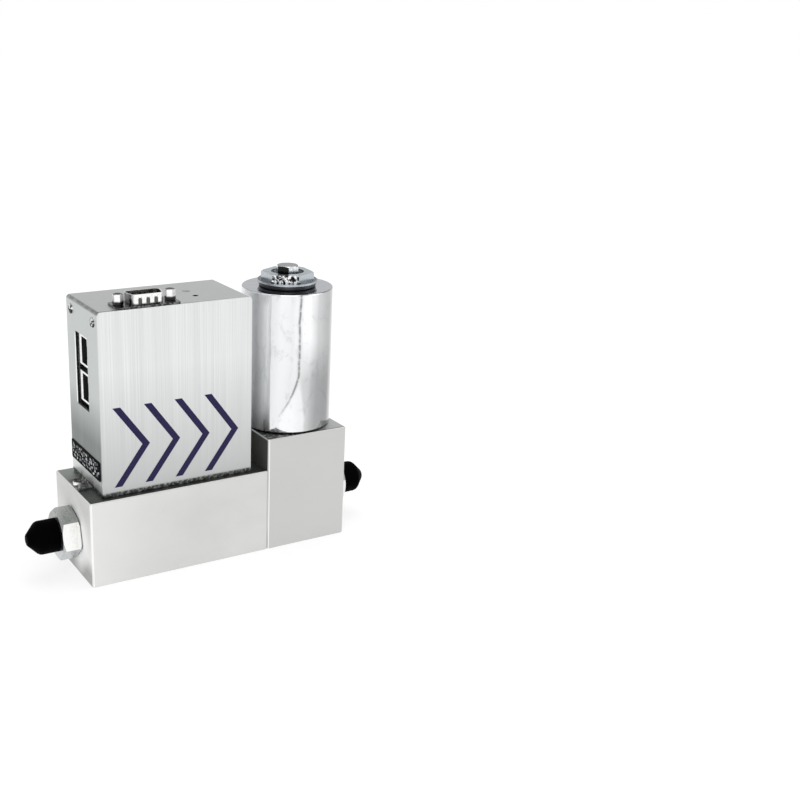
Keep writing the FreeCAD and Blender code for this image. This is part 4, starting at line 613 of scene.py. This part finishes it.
def mirror_plate(name):
    """Chrome over a slightly wavy tube, with painted reflections in soft streaks up its length."""
    material, tree, shader = new_finish(name, tone(235, 237, 238), 1.0, 0.09)
    height = height_above(tree)
    wave = grain(tree, COIL_WAVE, 2.0, 0.5, 0.4)
    wander = product(tree, grain(tree, COIL_WANDER, 3.0, 0.6), COIL_WANDER_TURN)
    turn = math_node(tree, "ADD", turn_about_valve(tree), wander)
    turn = math_node(tree, "SUBTRACT", turn, COIL_WANDER_TURN / 2)
    lean = product(tree, math_node(tree, "SUBTRACT", height, COIL_MIDDLE), COIL_REFLECTION_LEAN)
    turn = math_node(tree, "SUBTRACT", turn, lean)
    # Painted reflection: grey streaks round the coil, one grey above and one below.
    upper = ramp(tree, turn, [(place, reflection_tone(high)) for place, high, low in COIL_PAINTED_REFLECTIONS])
    lower = ramp(tree, turn, [(place, reflection_tone(low)) for place, high, low in COIL_PAINTED_REFLECTIONS])
    wavy_height = math_node(tree, "ADD", height, product(tree, wave, 20.0 * MM))
    shade = blended(tree, fade(tree, wavy_height, COIL_REFLECTION_Z), upper, lower)
    shade = creased(tree, shade, turn, height)
    patch = grain(tree, COIL_MOTTLE, 4.0, 0.65, 1.5)
    mottle = ramp(tree, patch, ((0.34, (0.82, 0.83, 0.85, 1)), (0.44, (0.97, 0.97, 0.98, 1)), (0.60, WHITE)))
    shade = blended(tree, 0.75, shade, mottle, "MULTIPLY")
    level = facing_up(tree)
    # Painted shade: the coil's top face takes a darker bluish grey than its sides.
    shade = blended(tree, level, shade, COIL_TOP_SHADE_TONE)
    tree.links.new(shade, shader.inputs["Base Color"])
    left_side = spread(tree, turn, 0.30, 0.0, 0.175, 0.19)
    polish = math_node(tree, "ADD", spread(tree, patch, 0.07, 0.16), left_side)
    on_wall = product(tree, polish, math_node(tree, "SUBTRACT", 1.0, level))
    polish = math_node(tree, "ADD", on_wall, product(tree, level, 0.09))
    tree.links.new(polish, shader.inputs["Roughness"])
    bumped(tree, shader, wave, 0.25, 1200 * MICRON)
    return material


def turned_steel(name, colour, roughness, axis_x):
    """Bright steel with lathe rings."""
    material, tree, shader = new_finish(name, colour, 1.0, roughness)
    blotch = grain(tree, STEEL_BLOTCHES, 3.0, 0.6)
    shade = ramp(tree, blotch, ((0.30, scaled(colour, 0.80)), (0.62, colour)))
    tree.links.new(shade, shader.inputs["Base Color"])
    tree.links.new(spread(tree, blotch, roughness * 0.75, roughness * 1.35), shader.inputs["Roughness"])
    bumped(tree, shader, lathe_rings(tree, axis_x), 0.08, 30 * MICRON)
    return material


def milled_hexagon(name, colour, upper, lower):
    """Milled flats with painted light and shade: bright at the front, greyer above, below and on the ends,
    with a painted shadow line at the seat.
    """
    material, tree, shader = new_finish(name, colour, 1.0, 0.28)
    lines = grain(tree, MILL_LINES, 3.0, 0.6)
    shade = ramp(tree, lines, ((0.32, scaled(colour, 0.97)), (0.66, scaled(colour, 1.03))))
    # Painted light and shade: each flat takes its tone from the way it faces.
    shade = blended(tree, toward(tree, (0, -0.1, 1), 0.35, 0.60), shade, upper)
    shade = blended(tree, toward(tree, (0, -0.2, -1), 0.30, 0.60), shade, lower)
    end_shade = blended(tree, fade(tree, height_above(tree), HEXAGON_END_Z, 0.0, 1.0), lower, upper)
    shade = blended(tree, toward(tree, LEFTWARD, 0.4, 0.8), shade, end_shade)
    shade = blended(tree, toward(tree, (1, 0, 0), 0.4, 0.8), shade, upper)
    from_middle = math_node(tree, "ABSOLUTE", place_along(tree, "X"))
    # Painted shadow: a dark line at the seat against the block.
    shade = blended(tree, fade(tree, from_middle, HEXAGON_SEAT_SHADOW_X, 0.9), shade, SHADE_AND_SPECKLE_DARK)
    tree.links.new(shade, shader.inputs["Base Color"])
    tree.links.new(spread(tree, lines, 0.22, 0.36), shader.inputs["Roughness"])
    bumped(tree, shader, lathe_rings(tree, None), 0.04, 20 * MICRON)
    return material


def dimples(tree):
    """1 in the round-topped dimples of the connector's front wall."""
    from_middle = math_node(tree, "SUBTRACT", place_along(tree, "X"), CONNECTOR_X)
    nearest = math_node(tree, "WRAP", from_middle, DIMPLE_PITCH / 2, -DIMPLE_PITCH / 2)
    above = math_node(tree, "SUBTRACT", height_above(tree), DIMPLE_TOP - DIMPLE_HALF_WIDTH)
    above = math_node(tree, "MAXIMUM", above, 0.0)
    dimple = fade(tree, hypotenuse(tree, nearest, above), DIMPLE_BLUR)
    in_row = fade(tree, math_node(tree, "ABSOLUTE", from_middle), DIMPLE_ROW)
    return product(tree, dimple, in_row, toward(tree, FORWARD, 0.2, 0.5))


def connector_plate(name, colour):
    """Plated shell: bright wall, with painted shade in the dimples, on the foot and flange and on the greyer
    left end.
    """
    material, tree, shader = new_finish(name, colour, 1.0, 0.16)
    blotch = grain(tree, SMALL_NICKS, 3.0, 0.6)
    shade = ramp(tree, blotch, ((0.34, scaled(colour, 0.86)), (0.56, colour)))
    # Painted shade: the shell's left end is greyer.
    shade = blended(tree, toward(tree, LEFTWARD, 0.45, 0.85), shade, scaled(colour, 0.34))
    # Painted shade in the dimples.
    shade = blended(tree, product(tree, dimples(tree), 0.92), shade, SHADE_AND_SPECKLE_DARK)
    # Painted shade: the foot and flange are dark.
    flange = blended(tree, spread(tree, blotch, 0.0, 1.0, 0.45, 0.62), SHADE_AND_SPECKLE_DARK, scaled(colour, 0.24))
    shade = blended(tree, fade(tree, height_above(tree), FLANGE_SHADE_Z), shade, flange)
    tree.links.new(shade, shader.inputs["Base Color"])
    tree.links.new(spread(tree, blotch, 0.12, 0.26), shader.inputs["Roughness"])
    bumped(tree, shader, blotch, 0.06, 50 * MICRON)
    return material


def post_steel(name, colour):
    """Small hexagon posts: bright above, with painted shade in the lower third, and dark on the top."""
    material, tree, shader = new_finish(name, colour, 1.0, 0.2)
    nick = grain(tree, SMALL_NICKS, 3.0, 0.6)
    shade = ramp(tree, nick, ((0.34, scaled(colour, 0.82)), (0.55, colour)))
    # Painted shade on the lower third of each post.
    low = fade(tree, height_above(tree), POST_FOOT_SHADE_Z)
    shade = blended(tree, math_node(tree, "MAXIMUM", low, facing_up(tree)), shade, SHADE_AND_SPECKLE_DARK)
    tree.links.new(shade, shader.inputs["Base Color"])
    tree.links.new(spread(tree, nick, 0.27, 0.15), shader.inputs["Roughness"])
    bumped(tree, shader, nick, 0.06, 50 * MICRON)
    return material


def nut_steel(name, colour):
    """Grey facets with a scuffed front one that shows black and white specks."""
    material, tree, shader = new_finish(name, colour, 1.0, 0.24)
    speck = grain(tree, NUT_SPECKLE, 3.0, 0.7)
    haze = ramp(tree, grain(tree, NUT_HAZE), ((0.35, scaled(colour, 0.86)), (0.65, scaled(colour, 1.1))))
    scuffed = ramp(tree, speck, ((0.48, (0.01, 0.01, 0.011, 1)), (0.53, scaled(colour, 0.9)), (0.56, WHITE)))
    haze = blended(tree, facing_up(tree), scaled(colour, 1.05), haze)
    shade = blended(tree, toward(tree, FRONT_FACET, 0.93, 0.97), haze, scuffed)
    tree.links.new(shade, shader.inputs["Base Color"])
    tree.links.new(spread(tree, speck, 0.2, 0.32), shader.inputs["Roughness"])
    bumped(tree, shader, speck, 0.08, 60 * MICRON)
    return material


def washer_steel(name, colour):
    """Washer with a bright rim and painted shade on its flat face."""
    material, tree, shader = new_finish(name, colour, 1.0, 0.24)
    blotch = grain(tree, STEEL_BLOTCHES, 3.0, 0.6)
    shade = ramp(tree, blotch, ((0.34, scaled(colour, 0.7)), (0.60, colour)))
    # Painted shade: the washer's flat top face is made dark.
    shade = blended(tree, facing_up(tree), shade, scaled(colour, 0.22))
    tree.links.new(shade, shader.inputs["Base Color"])
    tree.links.new(spread(tree, blotch, 0.2, 0.34), shader.inputs["Roughness"])
    bumped(tree, shader, lathe_rings(tree, VALVE_X), 0.08, 30 * MICRON)
    return material


def bolt_steel(name, colour):
    """Hexagon bolt head with painted light and shade: black left facet, bright right one, grey top."""
    material, tree, shader = new_finish(name, colour, 1.0, 0.22)
    speck = grain(tree, SMALL_NICKS, 4.0, 0.7)
    shade = ramp(tree, speck, ((0.40, scaled(colour, 0.6)), (0.52, colour)))
    # Painted shade: a grey top and a black left facet.
    shade = blended(tree, facing_up(tree), shade, scaled(colour, 0.31))
    shade = blended(tree, toward(tree, LEFT_FACET, 0.86, 0.96), shade, SHADE_AND_SPECKLE_DARK)
    tree.links.new(shade, shader.inputs["Base Color"])
    tree.links.new(spread(tree, speck, 0.16, 0.3), shader.inputs["Roughness"])
    bumped(tree, shader, speck, 0.08, 60 * MICRON)
    return material


def pan_head_steel(name, colour):
    """Round screw head with a bright rim and painted shade in its recess."""
    material, tree, shader = new_finish(name, colour, 1.0, 0.2)
    speck = grain(tree, SCREW_SPECKLE, 3.0, 0.6)
    shade = ramp(tree, speck, ((0.36, scaled(colour, 0.7)), (0.56, colour)))
    recess = ramp(tree, speck, ((0.42, SHADE_AND_SPECKLE_DARK), (0.62, scaled(colour, 0.45))))
    # Painted shade in the recess of the head.
    shade = blended(tree, toward(tree, (0, 0, 1), 0.80, 0.93), shade, recess)
    tree.links.new(shade, shader.inputs["Base Color"])
    tree.links.new(spread(tree, speck, 0.27, 0.15), shader.inputs["Roughness"])
    bumped(tree, shader, speck, 0.06, 50 * MICRON)
    return material


def speckled_screw_steel(name, colour):
    """Tiny screw heads that mix black and white."""
    material, tree, shader = new_finish(name, colour, 1.0, 0.24)
    speck = grain(tree, SMALL_SCREW_SPECKLE, 2.0, 0.5)
    shade = ramp(tree, speck, ((0.50, SHADE_AND_SPECKLE_DARK), (0.54, scaled(colour, 0.6)), (0.59, colour)))
    tree.links.new(shade, shader.inputs["Base Color"])
    tree.links.new(spread(tree, speck, 0.32, 0.18), shader.inputs["Roughness"])
    bumped(tree, shader, speck, 0.06, 50 * MICRON)
    return material


def plated_metal(name, colour, roughness):
    """Bright plating with small patches of wear."""
    material, tree, shader = new_finish(name, colour, 1.0, roughness)
    blotch = grain(tree, PLATING_WEAR, 4.0, 0.6)
    shade = ramp(tree, blotch, ((0.32, scaled(colour, 0.72)), (0.58, colour)))
    tree.links.new(shade, shader.inputs["Base Color"])
    tree.links.new(spread(tree, blotch, roughness * 0.7, roughness * 1.5), shader.inputs["Roughness"])
    bumped(tree, shader, blotch, 0.06, 50 * MICRON)
    return material


def paler(colour, factor, lift):
    return tuple(min(1.0, c * factor + lift) for c in colour[:3]) + (1.0,)


def moulded(name, colour, roughness, grain_repeats, grain_depth, gloss=0.5):
    """Moulded plastic or rubber with a fine grain and slight dust in its colour."""
    material, tree, shader = new_finish(name, colour, 0.0, roughness)
    shader.inputs["Specular IOR Level"].default_value = gloss
    fine = grain(tree, grain_repeats)
    cloud = grain(tree, DUST_CLOUDS, 3.0, 0.6)
    shade = ramp(tree, cloud, ((0.35, colour), (0.75, paler(colour, 1.35, 0.0002))))
    tree.links.new(shade, shader.inputs["Base Color"])
    rough = spread(tree, fine, roughness * 0.85, min(1.0, roughness * 1.15))
    tree.links.new(rough, shader.inputs["Roughness"])
    bumped(tree, shader, fine, 0.25, grain_depth)
    return material


def circuit_board(name):
    """Green solder mask with faint copper runs under it."""
    material, tree, shader = new_finish(name, (0.010, 0.060, 0.026, 1.0), 0.0, 0.32)
    bricks = add(
        tree,
        "ShaderNodeTexBrick",
        Color1=(0.009, 0.055, 0.024, 1.0),
        Color2=(0.014, 0.080, 0.034, 1.0),
        Mortar=(0.006, 0.040, 0.018, 1.0),
        Scale=420.0,
        Mortar_Size=0.06,
    )
    runs = bricks.outputs["Fac"]
    tree.links.new(object_place(tree), bricks.inputs["Vector"])
    tree.links.new(bricks.outputs["Color"], shader.inputs["Base Color"])
    shader.inputs["Coat Weight"].default_value = 0.3
    tree.links.new(spread(tree, runs, 0.28, 0.40, 0.0, 1.0), shader.inputs["Roughness"])
    bumped(tree, shader, runs, 0.2, 40 * MICRON)
    return material


def wound_copper(name):
    """Enamelled wire laid in level turns, with painted shade between the turns."""
    material, tree, shader = new_finish(name, (0.55, 0.22, 0.09, 1.0), 0.9, 0.3)
    turns = math_node(tree, "SINE", math_node(tree, "MULTIPLY", height_above(tree), WIRE_TURNS))
    crown = spread(tree, turns, 0.0, 1.0, -1.0, 1.0)
    # Painted shade between the turns, with lighter crowns.
    shade = ramp(tree, crown, ((0.0, (0.20, 0.07, 0.03, 1.0)), (0.6, (0.60, 0.25, 0.10, 1.0))))
    tree.links.new(shade, shader.inputs["Base Color"])
    tree.links.new(spread(tree, turns, 0.42, 0.24, -1.0, 1.0), shader.inputs["Roughness"])
    bumped(tree, shader, turns, 0.5, 100 * MICRON)
    return material


def clear_moulding(name):
    """Clear plastic, cloudy in places."""
    material, tree, shader = new_finish(name, (0.30, 0.33, 0.32, 1.0), 0.0, 0.12)
    cloud = grain(tree, CLEAR_CLOUDS, 2.0)
    shade = ramp(tree, cloud, ((0.40, (0.10, 0.115, 0.11, 1.0)), (0.62, (0.42, 0.46, 0.45, 1.0))))
    tree.links.new(shade, shader.inputs["Base Color"])
    tree.links.new(spread(tree, cloud, 0.08, 0.18), shader.inputs["Roughness"])
    bumped(tree, shader, cloud, 0.05, 20 * MICRON)
    shader.inputs["Transmission Weight"].default_value = 0.35
    shader.inputs["IOR"].default_value = 1.49
    return material


def printed(name, colour):
    """Screen printed ink, a little uneven."""
    material, tree, shader = new_finish(name, colour, 0.0, 0.42)
    shader.inputs["Specular IOR Level"].default_value = 0.2
    cloud = grain(tree, INK_CLOUDS, 3.0, 0.6)
    shade = ramp(tree, cloud, ((0.35, colour), (0.72, paler(colour, 1.3, 0.004))))
    tree.links.new(shade, shader.inputs["Base Color"])
    tree.links.new(spread(tree, cloud, 0.38, 0.50), shader.inputs["Roughness"])
    bumped(tree, shader, cloud, 0.08, 20 * MICRON)
    return material


def faded_print(name, pale, dark):
    """Fine print that has faded in places."""
    material, tree, shader = new_finish(name, pale, 0.0, 0.5)
    shader.inputs["Specular IOR Level"].default_value = 0.1
    cloud = grain(tree, FADED_PATCHES, 2.0, 0.5)
    tree.links.new(ramp(tree, cloud, ((0.44, dark), (0.58, pale))), shader.inputs["Base Color"])
    tree.links.new(spread(tree, cloud, 0.46, 0.60), shader.inputs["Roughness"])
    bumped(tree, shader, cloud, 0.08, 20 * MICRON)
    return material


def dress(frame, finishes):
    """Gives each CAD node its finish."""
    left = set(frame["nodes"])
    for material, nodes in finishes:
        for node in nodes.split():
            mesh = frame["nodes"][node].data
            mesh.materials.clear()
            mesh.materials.append(material)
            left.discard(node)
    if left:
        raise ValueError("no finish for " + ", ".join(sorted(left)))


def mesh_object(name, shape, material):
    mesh = bpy.data.meshes.new(name)
    bmesh.ops.recalc_face_normals(shape, faces=shape.faces)
    shape.to_mesh(mesh)
    shape.free()
    mesh.materials.append(material)
    piece = bpy.data.objects.new(name, mesh)
    bpy.context.scene.collection.objects.link(piece)
    return piece


def plate_of(outline, travel):
    """Solid made by moving a flat outline along a vector."""
    shape = bmesh.new()
    face = shape.faces.new([shape.verts.new(point) for point in outline])
    moved = bmesh.ops.extrude_face_region(shape, geom=[face])
    corners = [item for item in moved["geom"] if isinstance(item, bmesh.types.BMVert)]
    bmesh.ops.translate(shape, vec=travel, verts=corners)
    return shape


def set_by_identifier(node, **values):
    """Sets the inputs of a node that has one socket of the same name for each data type."""
    for socket in node.inputs:
        if socket.identifier in values:
            socket.default_value = values[socket.identifier]


def tree_inputs(tree, sizes):
    """Adds named inputs to a geometry tree and returns its input node."""
    tree.interface.new_socket("Geometry", in_out="OUTPUT", socket_type="NodeSocketGeometry")
    for name, kind, value in sizes:
        socket = tree.interface.new_socket(name, in_out="INPUT", socket_type=kind)
        if value is not None:
            socket.default_value = value
    return tree.nodes.new("NodeGroupInput")


def realised(tree, instances, material):
    """Ends a geometry tree in real geometry with its material."""
    real = tree.nodes.new("GeometryNodeRealizeInstances")
    paint = tree.nodes.new("GeometryNodeSetMaterial")
    paint.inputs["Material"].default_value = material
    out = tree.nodes.new("NodeGroupOutput")
    tree.links.new(instances, real.inputs[0])
    tree.links.new(real.outputs[0], paint.inputs["Geometry"])
    tree.links.new(paint.outputs[0], out.inputs[0])


def plain_mesh(name, tree, material):
    """The mesh that a geometry tree makes, as an object with no modifier."""
    carrier = bpy.data.objects.new(name + "_maker", bpy.data.meshes.new(name + "_maker"))
    bpy.context.scene.collection.objects.link(carrier)
    modifier = carrier.modifiers.new("maker", "NODES")
    modifier.node_group = tree
    graph = bpy.context.evaluated_depsgraph_get()
    mesh = bpy.data.meshes.new_from_object(carrier.evaluated_get(graph), depsgraph=graph)
    bpy.data.objects.remove(carrier)
    mesh.name = name
    if not mesh.materials:
        mesh.materials.append(material)
    piece = bpy.data.objects.new(name, mesh)
    bpy.context.scene.collection.objects.link(piece)
    return piece


def flow_arrows(y, ink):
    """Row of arrowheads printed on the front panel, pointing along the flow."""
    middle = (ARROW_LOW + ARROW_HIGH) / 2
    tip = ARROW_LEFT + ARROW_REACH
    outline = [
        (ARROW_LEFT, y, ARROW_HIGH),
        (ARROW_LEFT + ARROW_STROKE, y, ARROW_HIGH),
        (tip, y, middle),
        (ARROW_LEFT + ARROW_STROKE, y, ARROW_LOW),
        (ARROW_LEFT, y, ARROW_LOW),
        (tip - ARROW_STROKE, y, middle),
    ]
    arrow = mesh_object("arrow_shape", plate_of(outline, (0, -PRINT_THICKNESS, 0)), ink)
    tree = bpy.data.node_groups.new("arrow_row", "GeometryNodeTree")
    sizes = tree_inputs(tree, (
        ("Arrows", "NodeSocketInt", ARROW_COUNT),
        ("Pitch", "NodeSocketFloat", ARROW_PITCH),
    ))
    line = tree.nodes.new("GeometryNodeMeshLine")
    line.mode = "OFFSET"
    offset = tree.nodes.new("ShaderNodeCombineXYZ")
    shape = tree.nodes.new("GeometryNodeObjectInfo")
    shape.inputs["Object"].default_value = arrow
    places = tree.nodes.new("GeometryNodeInstanceOnPoints")
    tree.links.new(sizes.outputs["Arrows"], line.inputs["Count"])
    tree.links.new(sizes.outputs["Pitch"], offset.inputs["X"])
    tree.links.new(offset.outputs[0], line.inputs["Offset"])
    tree.links.new(line.outputs[0], places.inputs["Points"])
    tree.links.new(shape.outputs["Geometry"], places.inputs["Instance"])
    realised(tree, places.outputs[0], ink)
    row = plain_mesh("front_panel_arrows", tree, ink)
    bpy.data.objects.remove(arrow)
    return row


def label_marks(label_box, ink):
    """Rows of short pale marks on the side label, each with its own width and place."""
    low, high = label_box
    rows_span = high.z - low.z - 2 * MARK_MARGIN_Z - MARK_HEIGHT
    columns_span = high.y - low.y - 2 * MARK_MARGIN_Y
    outline = [(low.x, -0.5, 0), (low.x, 0.5, 0), (low.x, 0.5, 1), (low.x, -0.5, 1)]
    mark = mesh_object("mark_shape", plate_of(outline, (-PRINT_THICKNESS, 0, 0)), ink)
    tree = bpy.data.node_groups.new("mark_rows", "GeometryNodeTree")
    sizes = tree_inputs(tree, (
        ("Columns", "NodeSocketInt", MARK_COLUMNS),
        ("Rows", "NodeSocketInt", MARK_ROWS),
        ("Width", "NodeSocketFloat", columns_span),
        ("Height", "NodeSocketFloat", rows_span),
    ))
    grid = tree.nodes.new("GeometryNodeMeshGrid")
    turn = tree.nodes.new("GeometryNodeTransform")
    turn.inputs["Rotation"].default_value = (math.pi / 2, 0, math.pi / 2)
    middle = (0, (low.y + high.y) / 2, (low.z + high.z - MARK_HEIGHT) / 2)
    turn.inputs["Translation"].default_value = middle
    shifted = tree.nodes.new("GeometryNodeSetPosition")
    wander = tree.nodes.new("FunctionNodeRandomValue")
    wander.data_type = "FLOAT_VECTOR"
    furthest = (0, MARK_SHIFT_Y, MARK_SHIFT_Z)
    set_by_identifier(wander, Min=[-shift for shift in furthest], Max=furthest, Seed=MARK_SEED + 1)
    width = tree.nodes.new("FunctionNodeRandomValue")
    set_by_identifier(width, Min_001=MARK_WIDTH * 0.4, Max_001=MARK_WIDTH * 1.7, Seed=MARK_SEED)
    size = tree.nodes.new("ShaderNodeCombineXYZ")
    size.inputs["X"].default_value = 1.0
    size.inputs["Z"].default_value = MARK_HEIGHT
    shape = tree.nodes.new("GeometryNodeObjectInfo")
    shape.inputs["Object"].default_value = mark
    places = tree.nodes.new("GeometryNodeInstanceOnPoints")
    tree.links.new(sizes.outputs["Columns"], grid.inputs["Vertices X"])
    tree.links.new(sizes.outputs["Rows"], grid.inputs["Vertices Y"])
    tree.links.new(sizes.outputs["Width"], grid.inputs["Size X"])
    tree.links.new(sizes.outputs["Height"], grid.inputs["Size Y"])
    tree.links.new(grid.outputs["Mesh"], turn.inputs["Geometry"])
    tree.links.new(turn.outputs[0], shifted.inputs["Geometry"])
    tree.links.new(output_of(wander, "Value"), shifted.inputs["Offset"])
    tree.links.new(shifted.outputs[0], places.inputs["Points"])
    tree.links.new(shape.outputs["Geometry"], places.inputs["Instance"])
    tree.links.new(output_of(width, "Value_001"), size.inputs["Y"])
    tree.links.new(size.outputs[0], places.inputs["Scale"])
    realised(tree, places.outputs[0], ink)
    rows = plain_mesh("side_label_marks", tree, ink)
    bpy.data.objects.remove(mark)
    return rows


def photo_camera():
    camera = bpy.data.cameras.new("photo_camera")
    camera.sensor_width = SENSOR_WIDTH
    camera.lens = CAMERA_LENS
    camera.shift_x = SHIFT_X
    camera.shift_y = SHIFT_Y
    camera.clip_start = 0.01
    camera.clip_end = 50.0
    holder = bpy.data.objects.new("photo_camera", camera)
    right = Vector(CAMERA_RIGHT).normalized()
    up = Vector(CAMERA_UP)
    up = (up - right * up.dot(right)).normalized()
    back = right.cross(up)
    turn = Matrix((right, up, back)).transposed().to_4x4()
    holder.matrix_world = Matrix.Translation(CAMERA_PLACE) @ turn
    bpy.context.scene.collection.objects.link(holder)
    bpy.context.scene.camera = holder


def soft_light(name, place, size, power):
    light = bpy.data.lights.new(name, "AREA")
    light.shape = "RECTANGLE"
    light.size, light.size_y = size
    light.energy = power
    holder = bpy.data.objects.new(name, light)
    holder.location = place
    holder.rotation_mode = "QUATERNION"
    holder.rotation_quaternion = (Vector(LIT_PLACE) - Vector(place)).to_track_quat("-Z", "Y")
    bpy.context.scene.collection.objects.link(holder)


def studio():
    """Pale floor, soft lights and a room that is white at its horizon and greyer above."""
    scene = bpy.context.scene
    scene.view_settings.view_transform = "Standard"
    scene.view_settings.look = "None"
    world = bpy.data.worlds.new("room")
    scene.world = world
    world.use_nodes = True
    tree = world.node_tree
    direction = tree.nodes.new("ShaderNodeTexCoord").outputs["Generated"]
    parts = tree.nodes.new("ShaderNodeSeparateXYZ")
    tree.links.new(direction, parts.inputs[0])
    height = spread(tree, parts.outputs["Z"], 0.0, 1.0, -1.0, 1.0)
    shade = ramp(tree, height, ROOM_STOPS)
    background = tree.nodes["Background"]
    tree.links.new(shade, background.inputs["Color"])
    background.inputs["Strength"].default_value = ROOM_STRENGTH
    white = add(tree, "ShaderNodeBackground", Color=WHITE, Strength=1.0)
    seen = tree.nodes.new("ShaderNodeLightPath").outputs["Is Camera Ray"]
    either = tree.nodes.new("ShaderNodeMixShader")
    tree.links.new(seen, either.inputs[0])
    tree.links.new(background.outputs[0], either.inputs[1])
    tree.links.new(white.outputs[0], either.inputs[2])
    tree.links.new(either.outputs[0], tree.nodes["World Output"].inputs["Surface"])

    for light in SOFT_LIGHTS:
        soft_light(*light)

    shape = bmesh.new()
    bmesh.ops.create_circle(shape, cap_ends=True, segments=FLOOR_SIDES, radius=FLOOR_RADIUS)
    paint, floor_tree, shader = new_finish("pale_floor", (0.93, 0.93, 0.93, 1), 0.0, 0.6)
    length = floor_tree.nodes.new("ShaderNodeVectorMath")
    length.operation = "LENGTH"
    floor_tree.links.new(object_place(floor_tree), length.inputs[0])
    far = fade(floor_tree, length.outputs["Value"], FLOOR_FADE_R, FLOOR_GLOW_NEAR, 1.0)
    shade = blended(floor_tree, far, WHITE, BLACK)
    floor_tree.links.new(shade, shader.inputs["Base Color"])
    floor_tree.links.new(far, shader.inputs["Emission Strength"])
    shader.inputs["Emission Color"].default_value = WHITE
    floor = mesh_object("floor", shape, paint)
    if floor.data.polygons[0].normal.z < 0:
        floor.data.flip_normals()


def main():
    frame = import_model()
    # The blocks' top tone is dark as painted shade.
    blasted = blasted_block_steel("blasted_block_steel", tone(212, 212, 210), tone(112, 115, 111))
    brushed = grained_sheet_steel("grained_sheet_steel", tone(226, 227, 227), tone(203, 205, 204))
    # Front, upper and lower tones of the fittings, painted light and shade.
    hexagon_lit_and_shaded_tones = (tone(252, 252, 250), tone(158, 160, 158), tone(196, 199, 200))
    cap_vinyl = moulded("black_cap_vinyl", (0.0003, 0.0003, 0.0004, 1), 0.6, 900, 40 * MICRON, 0.015)
    rubber = moulded("black_rubber", (0.018, 0.018, 0.019, 1), 0.55, 1800, 60 * MICRON)
    ring_rubber = moulded("black_ring_rubber", (0.009, 0.010, 0.013, 1), 0.32, 1200, 40 * MICRON, 0.5)
    bright = turned_steel("bright_screw_steel", tone(205, 206, 206), 0.22, VALVE_X)
    inner = turned_steel("turned_valve_steel", tone(176, 176, 176), 0.30, VALVE_X)
    black = moulded("black_moulding", (0.014, 0.014, 0.015, 1), 0.42, 1500, 40 * MICRON)
    label_film = moulded("black_label_film", (0.002, 0.002, 0.0025, 1), 0.6, 2500, 20 * MICRON, 0.02)
    chip_resin = moulded("chip_resin", (0.02, 0.02, 0.022, 1), 0.5, 3000, 30 * MICRON)
    lens = moulded("lamp_lens", (0.75, 0.76, 0.70, 1), 0.3, 1200, 30 * MICRON)
    nylon = moulded("bobbin_nylon", (0.68, 0.66, 0.58, 1), 0.45, 1500, 40 * MICRON)
    dress(frame, (
        (blasted, "flow_block valve_block"),
        (brushed, "folded_cover front_panel rear_panel"),
        (mirror_plate("mirror_coil_plate"), "coil_case"),
        (milled_hexagon("milled_fitting_steel", *hexagon_lit_and_shaded_tones), "inlet_fitting outlet_fitting"),
        (speckled_screw_steel("speckled_screw_steel", tone(236, 237, 236)), "side_screws"),
        (pan_head_steel("pan_head_steel", tone(246, 246, 244)), "foot_screws"),
        (bolt_steel("bolt_steel", tone(240, 242, 243)), "top_screw"),
        (post_steel("post_steel", tone(250, 250, 249)), "dsub_jackscrews"),
        (nut_steel("bluish_nut_steel", tone(176, 183, 188)), "coil_nut"),
        (washer_steel("washer_steel", tone(190, 196, 203)), "coil_washer"),
        (bright, "block_joint_screws sensor_board_screws board_standoffs board_screws"),
        (inner, "core_tube fixed_core plunger valve_orifice coil_base_plate inlet_screen laminar_element "
                "top_screw_washer"),
        (connector_plate("connector_plate", tone(248, 249, 247)), "dsub_shell"),
        (plated_metal("bright_tin_plate", tone(248, 248, 247), 0.2), "lower_jack_shield upper_jack_shield"),
        (plated_metal("dull_contact_plate", tone(120, 112, 92), 0.3), "jack_contacts"),
        # Painted shade: the connector's pins take a dark grey for the shade inside it.
        (plated_metal("pin_plate_painted_shade", tone(62, 60, 56), 0.35), "dsub_pins"),
        (cap_vinyl, "inlet_cap outlet_cap"),
        (rubber, "block_joint_seal inlet_fitting_seal outlet_fitting_seal sensor_gasket core_tube_seal "
                 "plunger_seat_pad valve_orifice_seal coil_seat_ring"),
        (ring_rubber, "coil_top_ring"),
        (black, "lower_jack_insert upper_jack_insert dsub_insulator zero_switch zero_button board_headers"),
        (label_film, "side_label"),
        (circuit_board("green_board"), "sensor_board main_board upper_board"),
        (chip_resin, "flow_sensor_chip main_board_chips"),
        (clear_moulding("clear_light_pipe"), "status_light_pipe"),
        (lens, "status_lamp"),
        (wound_copper("wound_copper"), "coil_winding"),
        (nylon, "coil_bobbin"),
        (plated_metal("spring_wire", tone(170, 170, 172), 0.25), "plunger_spring"),
    ))

    arrow_ink = printed("indigo_ink", tone(24, 18, 60))
    arrows = flow_arrows(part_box("front_panel")[0].y, arrow_ink)
    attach(arrows, "controller")
    pale_ink = faded_print("pale_ink", tone(226, 230, 231), tone(70, 74, 76))
    marks = label_marks(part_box("side_label"), pale_ink)
    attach(marks, "controller")

    studio()
    photo_camera()


main()
